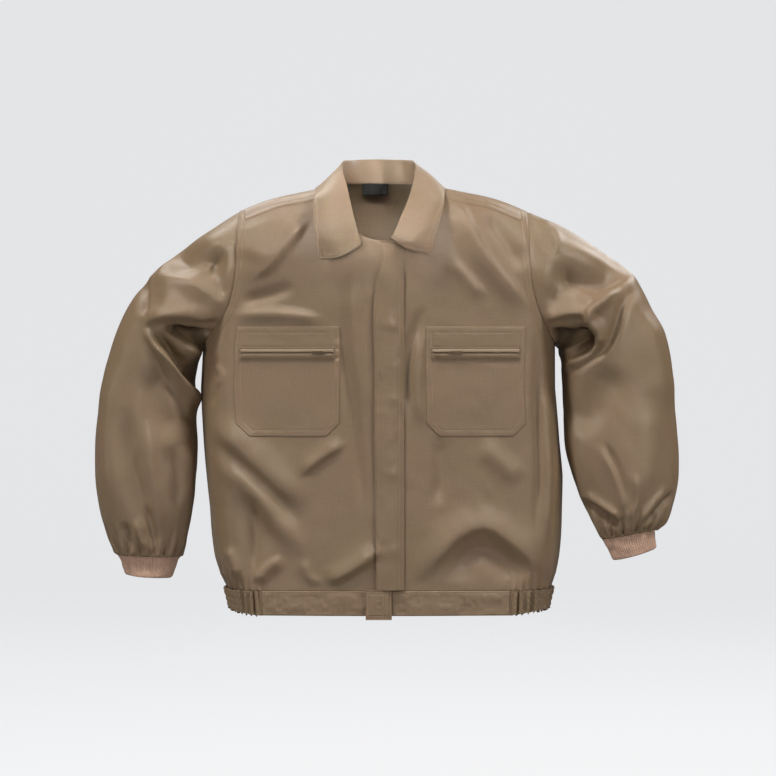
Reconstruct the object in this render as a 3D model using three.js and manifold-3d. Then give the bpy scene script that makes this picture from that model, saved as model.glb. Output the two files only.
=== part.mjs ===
// Work jacket in khaki twill, as it hangs on a wearer: shirt collar, concealed snap front,
// two zipped chest pockets, set-in sleeves with rib cuffs and a waistband with elastic sides.
// Millimetres, +Z up, front towards -Y. Left and right are the wearer's, so left is +X.
// The origin is the middle of the neck opening, level with the back neck seam.
import * as THREE from "three";
import { mergeVertices } from "three/addons/utils/BufferGeometryUtils.js";
import Module from "manifold-3d";

const wasm = await Module();
wasm.setup();

// ---- Driving dimensions -------------------------------------------------------------------
const CLOTH = 2.0; // wall that stands for one layer of twill with its seam allowances
const STRIP = 1.2; // wall of a sewn-on strip or patch
const GAP = 0.4; // clearance between touching pieces

// Torso: front and back are shallow planes each side of the middle, with rounded sides
const HALF_WIDTHS = [ // height, half width
  [-646, 238], [-606, 243], [-585, 251], [-540, 259], [-440, 264], [-340, 264], [-245, 262],
];
const FRONT_DEPTH = 92; // at the height of the front neck
const BACK_DEPTH = 98;
const FRONT_LEAN = 0.04; // how far the front moves out for each millimetre down
const BACK_LEAN = -0.02;
const FLAT_HALF = 45; // half width of the flat stretch at the centre front and back
const SIDE_SLOPE = 0.07; // how the pocket planes fall back from the centre
const SIDE_ROUND = 50; // width of the rounded stretch at each side
const SHOULDER_ROLL = 110; // height over which the shoulders round over
const RIDGE_TOP = 12; // the shoulder line carried on to the middle
const SHOULDER_SLOPE = 0.32;

// Neck and armholes
const NECK_HALF = 75;
const FRONT_NECK = -90; // height of the neck seam at the centre front
const BACK_NECK = -5;
const SHOULDER_HALF = 216;
const ARMPIT = -245;
const ARMHOLE_CURVE = 4; // the armhole turns out to the side seam with this power

// Waistband
const HEM = -646;
const BAND_HEIGHT = 40;
const BAND_WALL = 2.4;
const ELASTIC_FROM = 183; // the elastic section runs round the side from this far off centre
const CASING_WALL = 1.0;
const WEB_WALL = 1.4;

// Front closing
const STITCH_X = 31; // line where the fly is sewn to the left front
const UNDERLAP_X = 28; // edge of the right front, under the fly
const FLY_EDGE_X = -9;
const FLY_TOP = -97;
const STAND_FROM_X = 2;
const RAIL_WIDTH = 6.4; // folded seam that carries the fly or the tab
const SNAP_X = 15;
const SNAPS = 5;
const SNAP_FIRST = -110;
const SNAP_PITCH = 108.5;
const TAB_FROM_X = -25;
const TAB_TO_X = 13;
const TAB_WALL = 2.0;
const TAB_MARGIN = 1.5;

// Snap fastener: heights count out from what it is set in
const SNAP = { baseRadius: 5, base: 0.8, postRadius: 1.6, post: 1.5, headRadius: 2.1, head: 0.8 };
const SOCKET = { radius: 5.2, height: 2.8 };
const SNAP_CLEAR = 0.4; // between the stud's head and the socket's bore

// Chest pockets: across from the inner edge and up from the zip line, in the pocket plane
const POCKET_INNER = 63;
const POCKET_WIDTH = 148;
const ZIP_Z = -258;
const POCKET_ABOVE = 39;
const POCKET_BELOW = 122;
const POCKET_CHAMFER = 19;
const WINDOW = { from: 9, to: 140, half: 9 };
const TEETH = { half: 1.8, slit: 0.7, lift: 1.3, wall: 1.0, pitch: 4, notch: 1.2 };
const TAPE = { lift: 1.4, wall: 0.5 };
const SLIDER = { length: 9, half: 3.2, plate: 0.5, web: 0.35 };
const ARCH = { height: 4.0, reach: 2.9, wall: 0.7, half: 0.8 };
const PULL = { lift: 2.1, wall: 1.0, bar: 0.5, half: 2.6, arm: 1.2, start: 4.2, length: 16 };
const SLIDER_START = { left: 27, right: 15 };

// Collar, half of it, from the front end over the shoulder to the centre back
const COLLAR_WALL = 1.6;
const COLLAR_CLEAR = 1.0; // the stand starts this far above the body panels' neck edges
const ROLL_LINE = [
  [12, -100, -84], [34, -94, -58], [49, -68, -28], [58, -22, 10], [58, 22, 27], [36, 46, 33], [0, 52, 34],
];
const FALL_EDGE = [
  [84, -104, -116], [93, -92, -78], [100, -60, -38], [100, -8, -11], [88, 44, -14], [54, 66, -12], [0, 70, -11],
];
const LEAF_LIFT = 2.4; // the leaf's outer face stands this far off the roll line
const LEAF_BULGE = 4;
const COLLAR_STEPS = 12;

// Sleeves, by section: inner edge x, z, outer edge x, z, centre y, half depth
const SLEEVES = {
  left: [
    [267, -252, 270, -68, -3, 84], [268, -262, 324, -103, -6, 82], [268, -275, 376, -139, -9, 79],
    [269, -298, 412, -211, -13, 74], [270, -335, 429, -283, -18, 70], [272, -391, 438, -365, -28, 66],
    [283, -433, 442, -430, -37, 62], [300, -478, 432, -478, -46, 52], [321, -517, 409, -517, -53, 38],
  ],
  right: [
    [267, -252, 266, -76, -2, 84], [268, -262, 318, -112, -4, 81], [269, -277, 362, -158, -7, 77],
    [270, -302, 393, -212, -10, 72], [271, -342, 415, -283, -14, 68], [274, -395, 426, -365, -19, 64],
    [281, -445, 428, -440, -24, 60], [288, -500, 420, -495, -29, 52], [298, -547, 398, -547, -33, 40],
  ],
};
const CUFFS = { // each starts where its sleeve ends
  left: [[330, -540, 408, -537, -57, 33], [340, -561, 410, -556, -60, 31]],
  right: [[306, -570, 393, -570, -35, 34], [317, -592, 389, -590, -37, 31]],
};
const CUFF_WALL = 3.0;
const BELOW_ROWS = 6; // rows of facets below the armpit
const ARM_ROWS = 9; // rows of facets up the armhole, and half as many as round a sleeve
const NECK_ROWS = 5; // how many of them end at the neck line
const ACROSS = 9;

// Labels
const NECK_LABEL = { width: 40, centre: -12, rise: 3, drop: 19, wall: 0.6 };
const SIDE_LABEL = { height: 20, reach: 9, wall: 1.0, z: -530 };

// ---- Values that follow -------------------------------------------------------------------
const FRONT = { sign: -1, depth: FRONT_DEPTH, lean: FRONT_LEAN, neck: FRONT_NECK };
const BACK = { sign: 1, depth: BACK_DEPTH, lean: BACK_LEAN, neck: BACK_NECK };
const BODY_FLOOR = HEM + BAND_HEIGHT + GAP;
const STAND_LIFT = GAP + STRIP; // outer face of the snap stand on the right front
const SNAP_STACK = SNAP.base + SOCKET.height + 3 * GAP; // room that a closed snap needs
const FLY_LIFT = STAND_LIFT + SNAP_STACK; // inner face of the fly
const TAB_LIFT = SNAP_STACK; // inner face of the tab
const LEAN_ANGLE = Math.atan(FRONT_LEAN);
const SLOPE_ANGLE = Math.atan(SIDE_SLOPE);
const SLIDER_TOP = TEETH.lift + TEETH.wall + GAP + SLIDER.plate;

// ---- Helpers --------------------------------------------------------------------------------
const V = (x, y, z) => new THREE.Vector3(x, y, z);
const lerp = (a, b, t) => a + (b - a) * t;
const within = (x, low, high) => Math.min(high, Math.max(low, x));

// Straight-line reading of a table of [height, value] rows.
function readTable(table, at) {
  const last = table.length - 1;
  if (at <= table[0][0]) return table[0][1];
  if (at >= table[last][0]) return table[last][1];
  const i = table.findIndex(([height]) => height >= at);
  const [low, from] = table[i - 1];
  const [high, to] = table[i];
  return lerp(from, to, (at - low) / (high - low));
}

function signedVolume(position, index) {
  const at = (k) => V(position.getX(k), position.getY(k), position.getZ(k));
  let sum = 0;
  for (let i = 0; i < index.length; i += 3) {
    sum += at(index[i]).dot(at(index[i + 1]).cross(at(index[i + 2])));
  }
  return sum / 6;
}

// The same geometry with shared corners merged and its faces pointing out.
function closed(geometry) {
  const bare = geometry.clone();
  bare.deleteAttribute("normal");
  bare.deleteAttribute("uv");
  const merged = mergeVertices(bare, 1e-4);
  const index = Array.from(merged.index.array);
  if (signedVolume(merged.attributes.position, index) < 0) {
    for (let i = 0; i < index.length; i += 3) {
      [index[i + 1], index[i + 2]] = [index[i + 2], index[i + 1]];
    }
  }
  merged.setIndex(index);
  return merged;
}

const mirrored = (geometry) => closed(geometry.clone().scale(-1, 1, 1));
const onSide = (side, geometry) => (side === "left" ? geometry : mirrored(geometry));

function toSolid(geometry) {
  const ready = closed(geometry);
  return new wasm.Manifold(new wasm.Mesh({
    numProp: 3,
    vertProperties: Float32Array.from(ready.attributes.position.array),
    triVerts: Uint32Array.from(ready.index.array),
  }));
}

function fromSolid(solid) {
  const mesh = solid.getMesh();
  const geometry = new THREE.BufferGeometry();
  geometry.setAttribute("position", new THREE.BufferAttribute(mesh.vertProperties, 3));
  geometry.setIndex(new THREE.BufferAttribute(mesh.triVerts, 1));
  return geometry;
}

const join = (parts) => fromSolid(parts.map(toSolid).reduce((whole, part) => whole.add(part)));

// Which way each point of a grid faces: square to its neighbours, on the side that away() gives.
function gridNormals(rows, away, wrap = false) {
  const lastRow = rows.length - 1;
  const count = rows[0].length;
  const column = (i) => (wrap ? (i + count) % count : within(i, 0, count - 1));
  return rows.map((row, j) => row.map((point, i) => {
    const across = row[column(i + 1)].clone().sub(row[column(i - 1)]);
    const up = rows[within(j + 1, 0, lastRow)][i].clone().sub(rows[within(j - 1, 0, lastRow)][i]);
    const normal = across.cross(up).normalize();
    return normal.dot(away(point, j)) < 0 ? normal.negate() : normal;
  }));
}

// A closed sheet over a grid of points: its outer face lies lift off them, its wall goes inwards.
function gridSolid(rows, normals, lift, wall, wrap = false) {
  const nj = rows.length;
  const ni = rows[0].length;
  const positions = [];
  for (const offset of [lift, lift - wall]) {
    for (let j = 0; j < nj; j++) {
      for (let i = 0; i < ni; i++) {
        positions.push(...rows[j][i].clone().addScaledVector(normals[j][i], offset).toArray());
      }
    }
  }
  const id = (layer, j, i) => (layer * nj + j) * ni + (i % ni);
  const index = [];
  const quad = (a, b, c, d) => index.push(a, b, c, a, c, d);
  const columns = wrap ? ni : ni - 1;
  for (let i = 0; i < columns; i++) {
    for (let j = 0; j < nj - 1; j++) {
      quad(id(0, j, i), id(0, j, i + 1), id(0, j + 1, i + 1), id(0, j + 1, i));
      quad(id(1, j, i), id(1, j + 1, i), id(1, j + 1, i + 1), id(1, j, i + 1));
    }
    quad(id(0, 0, i), id(1, 0, i), id(1, 0, i + 1), id(0, 0, i + 1));
    quad(id(0, nj - 1, i), id(0, nj - 1, i + 1), id(1, nj - 1, i + 1), id(1, nj - 1, i));
  }
  for (let j = 0; j < nj - 1 && !wrap; j++) {
    quad(id(0, j, 0), id(0, j + 1, 0), id(1, j + 1, 0), id(1, j, 0));
    quad(id(0, j, ni - 1), id(1, j, ni - 1), id(1, j + 1, ni - 1), id(0, j + 1, ni - 1));
  }
  const geometry = new THREE.BufferGeometry();
  geometry.setAttribute("position", new THREE.Float32BufferAttribute(positions, 3));
  geometry.setIndex(index);
  return closed(geometry);
}

// In the frames of the front and of a pocket, x runs across, -y out of the cloth and z up.
function block(across, out, up) {
  const [x0, x1] = across;
  const [low, high] = out;
  const [z0, z1] = up;
  const box = new THREE.BoxGeometry(x1 - x0, high - low, z1 - z0);
  return box.translate((x0 + x1) / 2, -(low + high) / 2, (z0 + z1) / 2);
}

// A turned solid whose axis points out of the cloth: profile points are [radius, height out].
function turned(profile, lift) {
  const lathe = new THREE.LatheGeometry(profile.map(([r, h]) => new THREE.Vector2(r, h + lift)), 16);
  return lathe.rotateX(Math.PI);
}

// An outline across and up, made solid between two heights out of the cloth.
function plate(outline, low, high, hole) {
  const shape = new THREE.Shape(outline.map(([x, z]) => new THREE.Vector2(x, z)));
  if (hole) shape.holes.push(new THREE.Path(hole.map(([x, z]) => new THREE.Vector2(x, z))));
  const solid = new THREE.ExtrudeGeometry(shape, { depth: high - low, bevelEnabled: false });
  return solid.rotateX(Math.PI / 2).translate(0, -low, 0);
}

const rectangle = (x0, x1, z0, z1) => [[x0, z0], [x1, z0], [x1, z1], [x0, z1]];

// ---- Materials ------------------------------------------------------------------------------
const finish = (color, roughness, metalness = 0) => (
  () => new THREE.MeshStandardMaterial({ color, roughness, metalness })
);
const TWILL = finish(0x9a8468, 0.75);
const RIB = finish(0xa78d7b, 0.9);
const ZIP_TAPE = finish(0x8d7860, 0.85);
const NYLON = finish(0x80705c, 0.5);
const METAL = finish(0x8d867c, 0.35, 1);
const WEBBING = finish(0xd8d3c8, 0.9);
const LABEL = finish(0x1c1c1e, 0.7);

const jacket = new THREE.Group();
function place(name, geometry, material) {
  const mesh = new THREE.Mesh(geometry, material());
  mesh.name = name;
  jacket.add(mesh);
}

// ---- Torso surface --------------------------------------------------------------------------
const halfWidth = (z) => readTable(HALF_WIDTHS, z);
const ridge = (x) => RIDGE_TOP - SHOULDER_SLOPE * Math.abs(x);
const quarter = (x) => Math.sqrt(Math.max(0, 1 - x * x));

// How far the cloth of a face stands off the plane of the side and shoulder seams.
function standOff(x, z, face) {
  const across = Math.abs(x);
  const planeEnd = halfWidth(z) - SIDE_ROUND;
  const base = face.depth + face.lean * (FRONT_NECK - z);
  const plane = base - SIDE_SLOPE * Math.max(0, Math.min(across, planeEnd) - FLAT_HALF);
  const sideways = within((across - planeEnd) / SIDE_ROUND, 0, 1);
  const upwards = 1 - within((ridge(x) - z) / SHOULDER_ROLL, 0, 1);
  return plane * quarter(sideways) * quarter(upwards);
}

// Cloth points stop short of the seam plane, where the other face's cloth begins.
function torsoPoint(x, z, face) {
  return V(x, face.sign * Math.max(GAP, standOff(x, z, face)), z);
}

function torsoNormal(x, z, face) {
  const step = 0.5;
  const slopeX = (standOff(x + step, z, face) - standOff(x - step, z, face)) / (2 * step);
  const slopeZ = (standOff(x, z + step, face) - standOff(x, z - step, face)) / (2 * step);
  return V(-slopeX, face.sign, -slopeZ).normalize();
}

// A sheet on the torso over rows of [x, z].
function torsoSheet(rows, face, lift, wall) {
  const points = rows.map((row) => row.map(([x, z]) => torsoPoint(x, z, face)));
  const normals = rows.map((row) => row.map(([x, z]) => torsoNormal(x, z, face)));
  return gridSolid(points, normals, lift, wall);
}

// The neck line, by angle from the centre: 0 at the front or back middle, 90 at the shoulder.
function neckLine(angle, face) {
  const top = ridge(NECK_HALF);
  return [NECK_HALF * Math.sin(angle), top - (top - face.neck) * Math.cos(angle)];
}

// The armhole line at m, from 0 at the armpit to 1 at the shoulder, moved off towards the sleeve.
function armhole(m, off = 0) {
  const top = ridge(SHOULDER_HALF);
  const down = (1 + Math.cos(m * Math.PI)) / 2;
  const flare = halfWidth(ARMPIT) - SHOULDER_HALF;
  const turn = (flare * ARMHOLE_CURVE * down ** (ARMHOLE_CURVE - 1)) / (top - ARMPIT);
  const length = Math.hypot(1, turn);
  const x = SHOULDER_HALF + flare * down ** ARMHOLE_CURVE;
  return [x + off / length, lerp(top, ARMPIT, down) + (off * turn) / length];
}

function acrossRow([x0, z0], [x1, z1]) {
  const row = [];
  for (let i = 0; i <= ACROSS; i++) {
    const s = Math.sin((i / ACROSS) * (Math.PI / 2));
    row.push([lerp(x0, x1, s), lerp(z0, z1, s)]);
  }
  return row;
}

// Rows of [x, z] for half a body panel, from its centre edge to the side seam and the armhole.
function panelRows(centreX, face) {
  const rows = [];
  const neckStart = Math.asin(centreX / NECK_HALF);
  for (let j = 0; j < BELOW_ROWS; j++) {
    const z = lerp(BODY_FLOOR, ARMPIT, j / BELOW_ROWS);
    rows.push(acrossRow([centreX, z], [halfWidth(z), z]));
  }
  for (let k = 0; k <= ARM_ROWS; k++) {
    const climb = k / (ARM_ROWS - NECK_ROWS);
    const neck = neckLine(lerp(neckStart, Math.PI / 2, within((k - ARM_ROWS) / NECK_ROWS + 1, 0, 1)), face);
    const inner = climb < 1 ? [centreX, lerp(ARMPIT, neckLine(neckStart, face)[1], climb)] : neck;
    rows.push(acrossRow(inner, armhole(k / ARM_ROWS)));
  }
  return rows;
}

// ---- Body panels ----------------------------------------------------------------------------
const FRONT_AT_ZERO = -(FRONT_DEPTH + FRONT_LEAN * FRONT_NECK); // y of its plane at the origin's height

// From the frame of the flat centre front to the jacket's.
const onFront = (geometry) => geometry.rotateX(-LEAN_ANGLE).translate(0, FRONT_AT_ZERO, 0);

const seamRail = (fromX, top, bottom, height) => (
  onFront(block([fromX, fromX + RAIL_WIDTH], [-CLOTH / 2, height], [bottom, top]))
);

function frontLeft() {
  const start = STITCH_X + GAP / 2;
  const panel = torsoSheet(panelRows(start, FRONT), FRONT, 0, CLOTH);
  return join([panel, seamRail(start, FLY_TOP, BODY_FLOOR + GAP, FLY_LIFT + STRIP)]);
}

// The back is one piece: its halves run past the middle and are joined.
const halfBack = torsoSheet(panelRows(-GAP, BACK), BACK, 0, CLOTH);
place("back_panel", join([halfBack, mirrored(halfBack)]), TWILL);
place("front_panel_left", frontLeft(), TWILL);
place("front_panel_right", mirrored(torsoSheet(panelRows(-UNDERLAP_X, FRONT), FRONT, 0, CLOTH)), TWILL);

// ---- Front closing --------------------------------------------------------------------------
const FLY_BOTTOM = BODY_FLOOR + GAP;
const FLY_SPAN = [FLY_BOTTOM, FLY_TOP];
const fly = block([FLY_EDGE_X, STITCH_X - GAP / 2], [FLY_LIFT, FLY_LIFT + STRIP], FLY_SPAN);
const stand = block([STAND_FROM_X, UNDERLAP_X], [GAP, STAND_LIFT], FLY_SPAN);
place("fly_strip", onFront(fly), TWILL);
place("snap_stand", onFront(stand), TWILL);

// The stud stands on the under layer.
function snapStud(x, z, lift) {
  const shoulder = SNAP.base + SNAP.post;
  const profile = [
    [0, 0], [SNAP.baseRadius, 0], [SNAP.baseRadius, SNAP.base], [SNAP.postRadius, SNAP.base],
    [SNAP.postRadius, shoulder], [SNAP.headRadius, shoulder + SNAP.head / 2],
    [SNAP.postRadius, shoulder + SNAP.head], [0, shoulder + SNAP.head],
  ];
  return onFront(turned(profile, lift + GAP).translate(x, 0, z));
}

// The socket is a ring under the upper layer.
function snapSocket(x, z, lift) {
  const bore = SNAP.headRadius + SNAP_CLEAR;
  const low = 2 * GAP + SNAP.base;
  const high = low + SOCKET.height;
  const profile = [[bore, low], [SOCKET.radius, low], [SOCKET.radius, high], [bore, high], [bore, low]];
  return onFront(turned(profile, lift).translate(x, 0, z));
}

for (let k = 0; k < SNAPS; k++) {
  const z = SNAP_FIRST - k * SNAP_PITCH;
  place(`snap_stud_${k + 1}`, snapStud(SNAP_X, z, STAND_LIFT), METAL);
  place(`snap_socket_${k + 1}`, snapSocket(SNAP_X, z, STAND_LIFT), METAL);
}

// ---- Waistband ------------------------------------------------------------------------------
const BAND_TOP = HEM + BAND_HEIGHT;
const BAND_MIDDLE = HEM + BAND_HEIGHT / 2;
const BAND_ROWS = 2;

function bandRows(fromX, toX, columns) {
  const rows = [];
  for (let j = 0; j <= BAND_ROWS; j++) {
    const z = lerp(HEM, BAND_TOP, j / BAND_ROWS);
    rows.push(Array.from({ length: columns + 1 }, (_, i) => [lerp(fromX, toX, i / columns), z]));
  }
  return rows;
}

function bandFrontLeft() {
  const start = TAB_TO_X + GAP / 2;
  const band = torsoSheet(bandRows(start, ELASTIC_FROM - GAP, 5), FRONT, 0, BAND_WALL);
  return join([band, seamRail(start, BAND_TOP - TAB_MARGIN, HEM + TAB_MARGIN, TAB_LIFT + TAB_WALL)]);
}

// One layer of the elastic section, round the side from front to back.
function elasticLayer(lift, wall) {
  const steps = 5;
  const points = [];
  const normals = [];
  for (let j = 0; j <= BAND_ROWS; j++) {
    const z = lerp(HEM, BAND_TOP, j / BAND_ROWS);
    const row = [];
    const facing = [];
    for (let i = -steps; i <= steps; i++) {
      const face = i < 0 ? FRONT : BACK;
      const x = lerp(ELASTIC_FROM, halfWidth(z), Math.cos((i / steps) * (Math.PI / 2)));
      row.push(i === 0 ? V(x, 0, z) : torsoPoint(x, z, face));
      facing.push(i === 0 ? V(1, 0, 0) : torsoNormal(x, z, face));
    }
    points.push(row);
    normals.push(facing);
  }
  return gridSolid(points, normals, lift, wall);
}

// The right half runs on under the tab.
const bandRight = torsoSheet(bandRows(GAP - TAB_TO_X, ELASTIC_FROM - GAP, 6), FRONT, 0, BAND_WALL);
const bandBack = torsoSheet(bandRows(GAP - ELASTIC_FROM, ELASTIC_FROM - GAP, 12), BACK, 0, BAND_WALL);
place("waistband_front_left", bandFrontLeft(), TWILL);
place("waistband_front_right", mirrored(bandRight), TWILL);
place("waistband_back", bandBack, TWILL);
for (const side of ["left", "right"]) {
  place(`elastic_casing_${side}`, onSide(side, elasticLayer(0, CASING_WALL)), TWILL);
  place(`elastic_webbing_${side}`, onSide(side, elasticLayer(-CASING_WALL - GAP, WEB_WALL)), WEBBING);
}

const tab = block(
  [TAB_FROM_X, TAB_TO_X - GAP / 2], [TAB_LIFT, TAB_LIFT + TAB_WALL], [HEM + TAB_MARGIN, BAND_TOP - TAB_MARGIN],
);
const TAB_SNAP_X = (TAB_FROM_X + TAB_TO_X) / 2;
place("waistband_tab", onFront(tab), TWILL);
place("tab_snap_stud", snapStud(TAB_SNAP_X, BAND_MIDDLE, 0), METAL);
place("tab_snap_socket", snapSocket(TAB_SNAP_X, BAND_MIDDLE, 0), METAL);

// ---- Chest pockets --------------------------------------------------------------------------
// From the frame of the left pocket, whose origin is its inner edge at the zip line.
function onPocket(geometry) {
  const corner = torsoPoint(POCKET_INNER, ZIP_Z, FRONT);
  return geometry.rotateX(-LEAN_ANGLE).rotateZ(SLOPE_ANGLE).translate(corner.x, corner.y, corner.z);
}

function pocketPatch() {
  const w = POCKET_WIDTH;
  const c = POCKET_CHAMFER;
  const outline = [
    [0, POCKET_ABOVE], [0, c - POCKET_BELOW], [c, -POCKET_BELOW], [w - c, -POCKET_BELOW],
    [w, c - POCKET_BELOW], [w, POCKET_ABOVE],
  ];
  const hole = rectangle(WINDOW.from, WINDOW.to, -WINDOW.half, WINDOW.half);
  return onPocket(plate(outline, GAP, GAP + STRIP, hole));
}

// The half of the zip above (up 1) or below (up -1) the slit.
function zipTape(up) {
  const near = TEETH.slit + TEETH.half + GAP;
  const far = WINDOW.half - GAP;
  const span = up > 0 ? [near, far] : [-far, -near];
  return onPocket(block([WINDOW.from + GAP, WINDOW.to - GAP], [TAPE.lift, TAPE.lift + TAPE.wall], span));
}

// A comb of teeth along the slit.
function zipTeeth(up) {
  const start = WINDOW.from + GAP;
  const count = Math.floor((WINDOW.to - GAP - start) / TEETH.pitch);
  const back = TEETH.slit + TEETH.half;
  const outline = [[start, up * back]];
  for (let k = 0; k < count; k++) {
    const x = start + k * TEETH.pitch;
    outline.push([x, up * TEETH.slit], [x + TEETH.pitch / 2, up * TEETH.slit]);
    outline.push([x + TEETH.pitch / 2, up * (TEETH.slit + TEETH.notch)]);
    outline.push([x + TEETH.pitch, up * (TEETH.slit + TEETH.notch)]);
  }
  outline.push([start + count * TEETH.pitch, up * back]);
  return onPocket(plate(outline, TEETH.lift, TEETH.lift + TEETH.wall));
}

// Two plates round the teeth, a web in the slit, and an arch on top for the pull.
function zipSlider(at) {
  const h = SLIDER.length / 2;
  const low = TEETH.lift - GAP - SLIDER.plate;
  const across = [at - h, at + h];
  const archTop = SLIDER_TOP + ARCH.height;
  const posts = [-1, 1].map((end) => block(
    [at + end * ARCH.reach - (end > 0 ? ARCH.wall : 0), at + end * ARCH.reach + (end < 0 ? ARCH.wall : 0)],
    [SLIDER_TOP - SLIDER.plate / 2, archTop], [-ARCH.half, ARCH.half],
  ));
  return onPocket(join([
    block(across, [low, low + SLIDER.plate], [-SLIDER.half, SLIDER.half]),
    block(across, [SLIDER_TOP - SLIDER.plate, SLIDER_TOP], [-SLIDER.half, SLIDER.half]),
    block([at - ARCH.reach, at + ARCH.reach], [low, SLIDER_TOP], [-SLIDER.web, SLIDER.web]),
    block([at - ARCH.reach, at + ARCH.reach], [archTop - ARCH.wall, archTop], [-ARCH.half, ARCH.half]),
    ...posts,
  ]));
}

// A tongue whose bar passes through the arch.
function zipPull(at) {
  const middle = SLIDER_TOP + PULL.lift;
  const thick = [middle - PULL.wall / 2, middle + PULL.wall / 2];
  const arms = [-1, 1].map((end) => block(
    [at - PULL.bar, at + PULL.start + 1], thick,
    end > 0 ? [PULL.half - PULL.arm, PULL.half] : [-PULL.half, PULL.arm - PULL.half],
  ));
  return onPocket(join([
    block([at - PULL.bar, at + PULL.bar], thick, [-PULL.half, PULL.half]),
    block([at + PULL.start, at + PULL.length], thick, [-PULL.half, PULL.half]),
    ...arms,
  ]));
}

for (const side of ["left", "right"]) {
  const at = WINDOW.from + SLIDER_START[side];
  place(`pocket_patch_${side}`, onSide(side, pocketPatch()), TWILL);
  place(`zip_tape_upper_${side}`, onSide(side, zipTape(1)), ZIP_TAPE);
  place(`zip_tape_lower_${side}`, onSide(side, zipTape(-1)), ZIP_TAPE);
  place(`zip_teeth_upper_${side}`, onSide(side, zipTeeth(1)), NYLON);
  place(`zip_teeth_lower_${side}`, onSide(side, zipTeeth(-1)), NYLON);
  place(`zip_slider_${side}`, onSide(side, zipSlider(at)), METAL);
  place(`zip_pull_${side}`, onSide(side, zipPull(at)), METAL);
}

// ---- Collar ---------------------------------------------------------------------------------
// Half of a line of the collar, from the front end to the centre back.
const collarHalf = (stations) => (
  new THREE.CatmullRomCurve3(stations.map((p) => V(...p))).getPoints(COLLAR_STEPS)
);

// Both halves in one row, from the right front end to the left.
function bothEnds(half) {
  const other = half.slice(0, -1).map((p) => V(-p.x, p.y, p.z));
  return [...other, ...half.slice().reverse()];
}

const collarLine = (stations) => bothEnds(collarHalf(stations));

// The neck seam below the roll line, lifted clear of the body panels.
function neckSeam() {
  const start = Math.asin(ROLL_LINE[0][0] / NECK_HALF);
  return collarHalf(ROLL_LINE).map((roll, i) => {
    const turn = lerp(start, Math.PI, i / COLLAR_STEPS);
    const face = turn <= Math.PI / 2 ? FRONT : BACK;
    const [x, z] = neckLine(Math.min(turn, Math.PI - turn), face);
    const seam = torsoPoint(x, z, face);
    return seam.add(roll.clone().sub(seam).setLength(COLLAR_CLEAR));
  });
}

function collarStand() {
  const rows = [bothEnds(neckSeam()), collarLine(ROLL_LINE)];
  const normals = gridNormals(rows, (p) => V(p.x, p.y + NECK_HALF / 2, 0));
  return gridSolid(rows, normals, 0, COLLAR_WALL);
}

function collarLeaf() {
  const roll = collarLine(ROLL_LINE);
  const edge = collarLine(FALL_EDGE);
  const outward = (p) => V(p.x, p.y + NECK_HALF / 2, NECK_HALF / 2);
  const bulge = (p) => outward(p).setLength(LEAF_BULGE);
  const middle = roll.map((p, i) => p.clone().lerp(edge[i], 0.5).add(bulge(p)));
  const rows = [roll, middle, edge];
  return gridSolid(rows, gridNormals(rows, outward), LEAF_LIFT, COLLAR_WALL);
}

place("collar_stand", collarStand(), TWILL);
place("collar_leaf", collarLeaf(), TWILL);

// ---- Sleeves and cuffs ----------------------------------------------------------------------
const AROUND = 2 * ARM_ROWS;

// The sleeve head lies along the armhole, clear of the body panels.
function sleeveHead() {
  return Array.from({ length: AROUND }, (_, i) => {
    const m = Math.abs(1 - i / ARM_ROWS);
    const face = i < ARM_ROWS ? FRONT : BACK;
    const [x, z] = armhole(m);
    const [clearX, clearZ] = armhole(m, 2 * GAP);
    return V(clearX, face.sign * standOff(x, z, face), clearZ);
  });
}

// An oval section between its inner and outer edges.
function section([innerX, innerZ, outerX, outerZ, y, depth]) {
  const centre = V((innerX + outerX) / 2, y, (innerZ + outerZ) / 2);
  const reach = V((outerX - innerX) / 2, 0, (outerZ - innerZ) / 2);
  return Array.from({ length: AROUND }, (_, i) => {
    const angle = (i / AROUND) * 2 * Math.PI;
    return centre.clone().addScaledVector(reach, Math.cos(angle)).add(V(0, -depth * Math.sin(angle), 0));
  });
}

function tube(rows, wall) {
  const centres = rows.map((row) => row.reduce((sum, p) => sum.add(p), V(0, 0, 0)).divideScalar(row.length));
  const normals = gridNormals(rows, (p, j) => p.clone().sub(centres[j]), true);
  return gridSolid(rows, normals, 0, wall, true);
}

const sleeveEnd = (side) => SLEEVES[side][SLEEVES[side].length - 1];
const dropped = ([x0, z0, x1, z1, y, depth], by) => [x0, z0 - by, x1, z1 - by, y, depth];

for (const side of ["left", "right"]) {
  const cuff = [dropped(sleeveEnd(side), GAP), ...CUFFS[side]].map(section);
  place(`sleeve_${side}`, onSide(side, tube([sleeveHead(), ...SLEEVES[side].map(section)], CLOTH)), TWILL);
  place(`cuff_${side}`, onSide(side, tube(cuff, CUFF_WALL)), RIB);
}

// ---- Labels ---------------------------------------------------------------------------------
// A woven label behind the neck, hanging from the neck seam inside the back.
function neckLabel() {
  const columns = 4;
  const inside = CLOTH + 2 * GAP;
  const top = Array.from({ length: columns + 1 }, (_, i) => {
    const x = NECK_LABEL.centre + NECK_LABEL.width * (i / columns - 0.5);
    const [, z] = neckLine(Math.asin(Math.abs(x) / NECK_HALF), BACK);
    const seam = torsoPoint(x, z, BACK).addScaledVector(torsoNormal(x, z, BACK), -inside);
    return seam.add(V(0, 0, NECK_LABEL.rise));
  });
  const bottom = top.map((p) => V(p.x, p.y, p.z - NECK_LABEL.rise - NECK_LABEL.drop));
  const rows = [bottom, top];
  return gridSolid(rows, gridNormals(rows, () => V(0, 1, 0)), 0, NECK_LABEL.wall);
}

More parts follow.
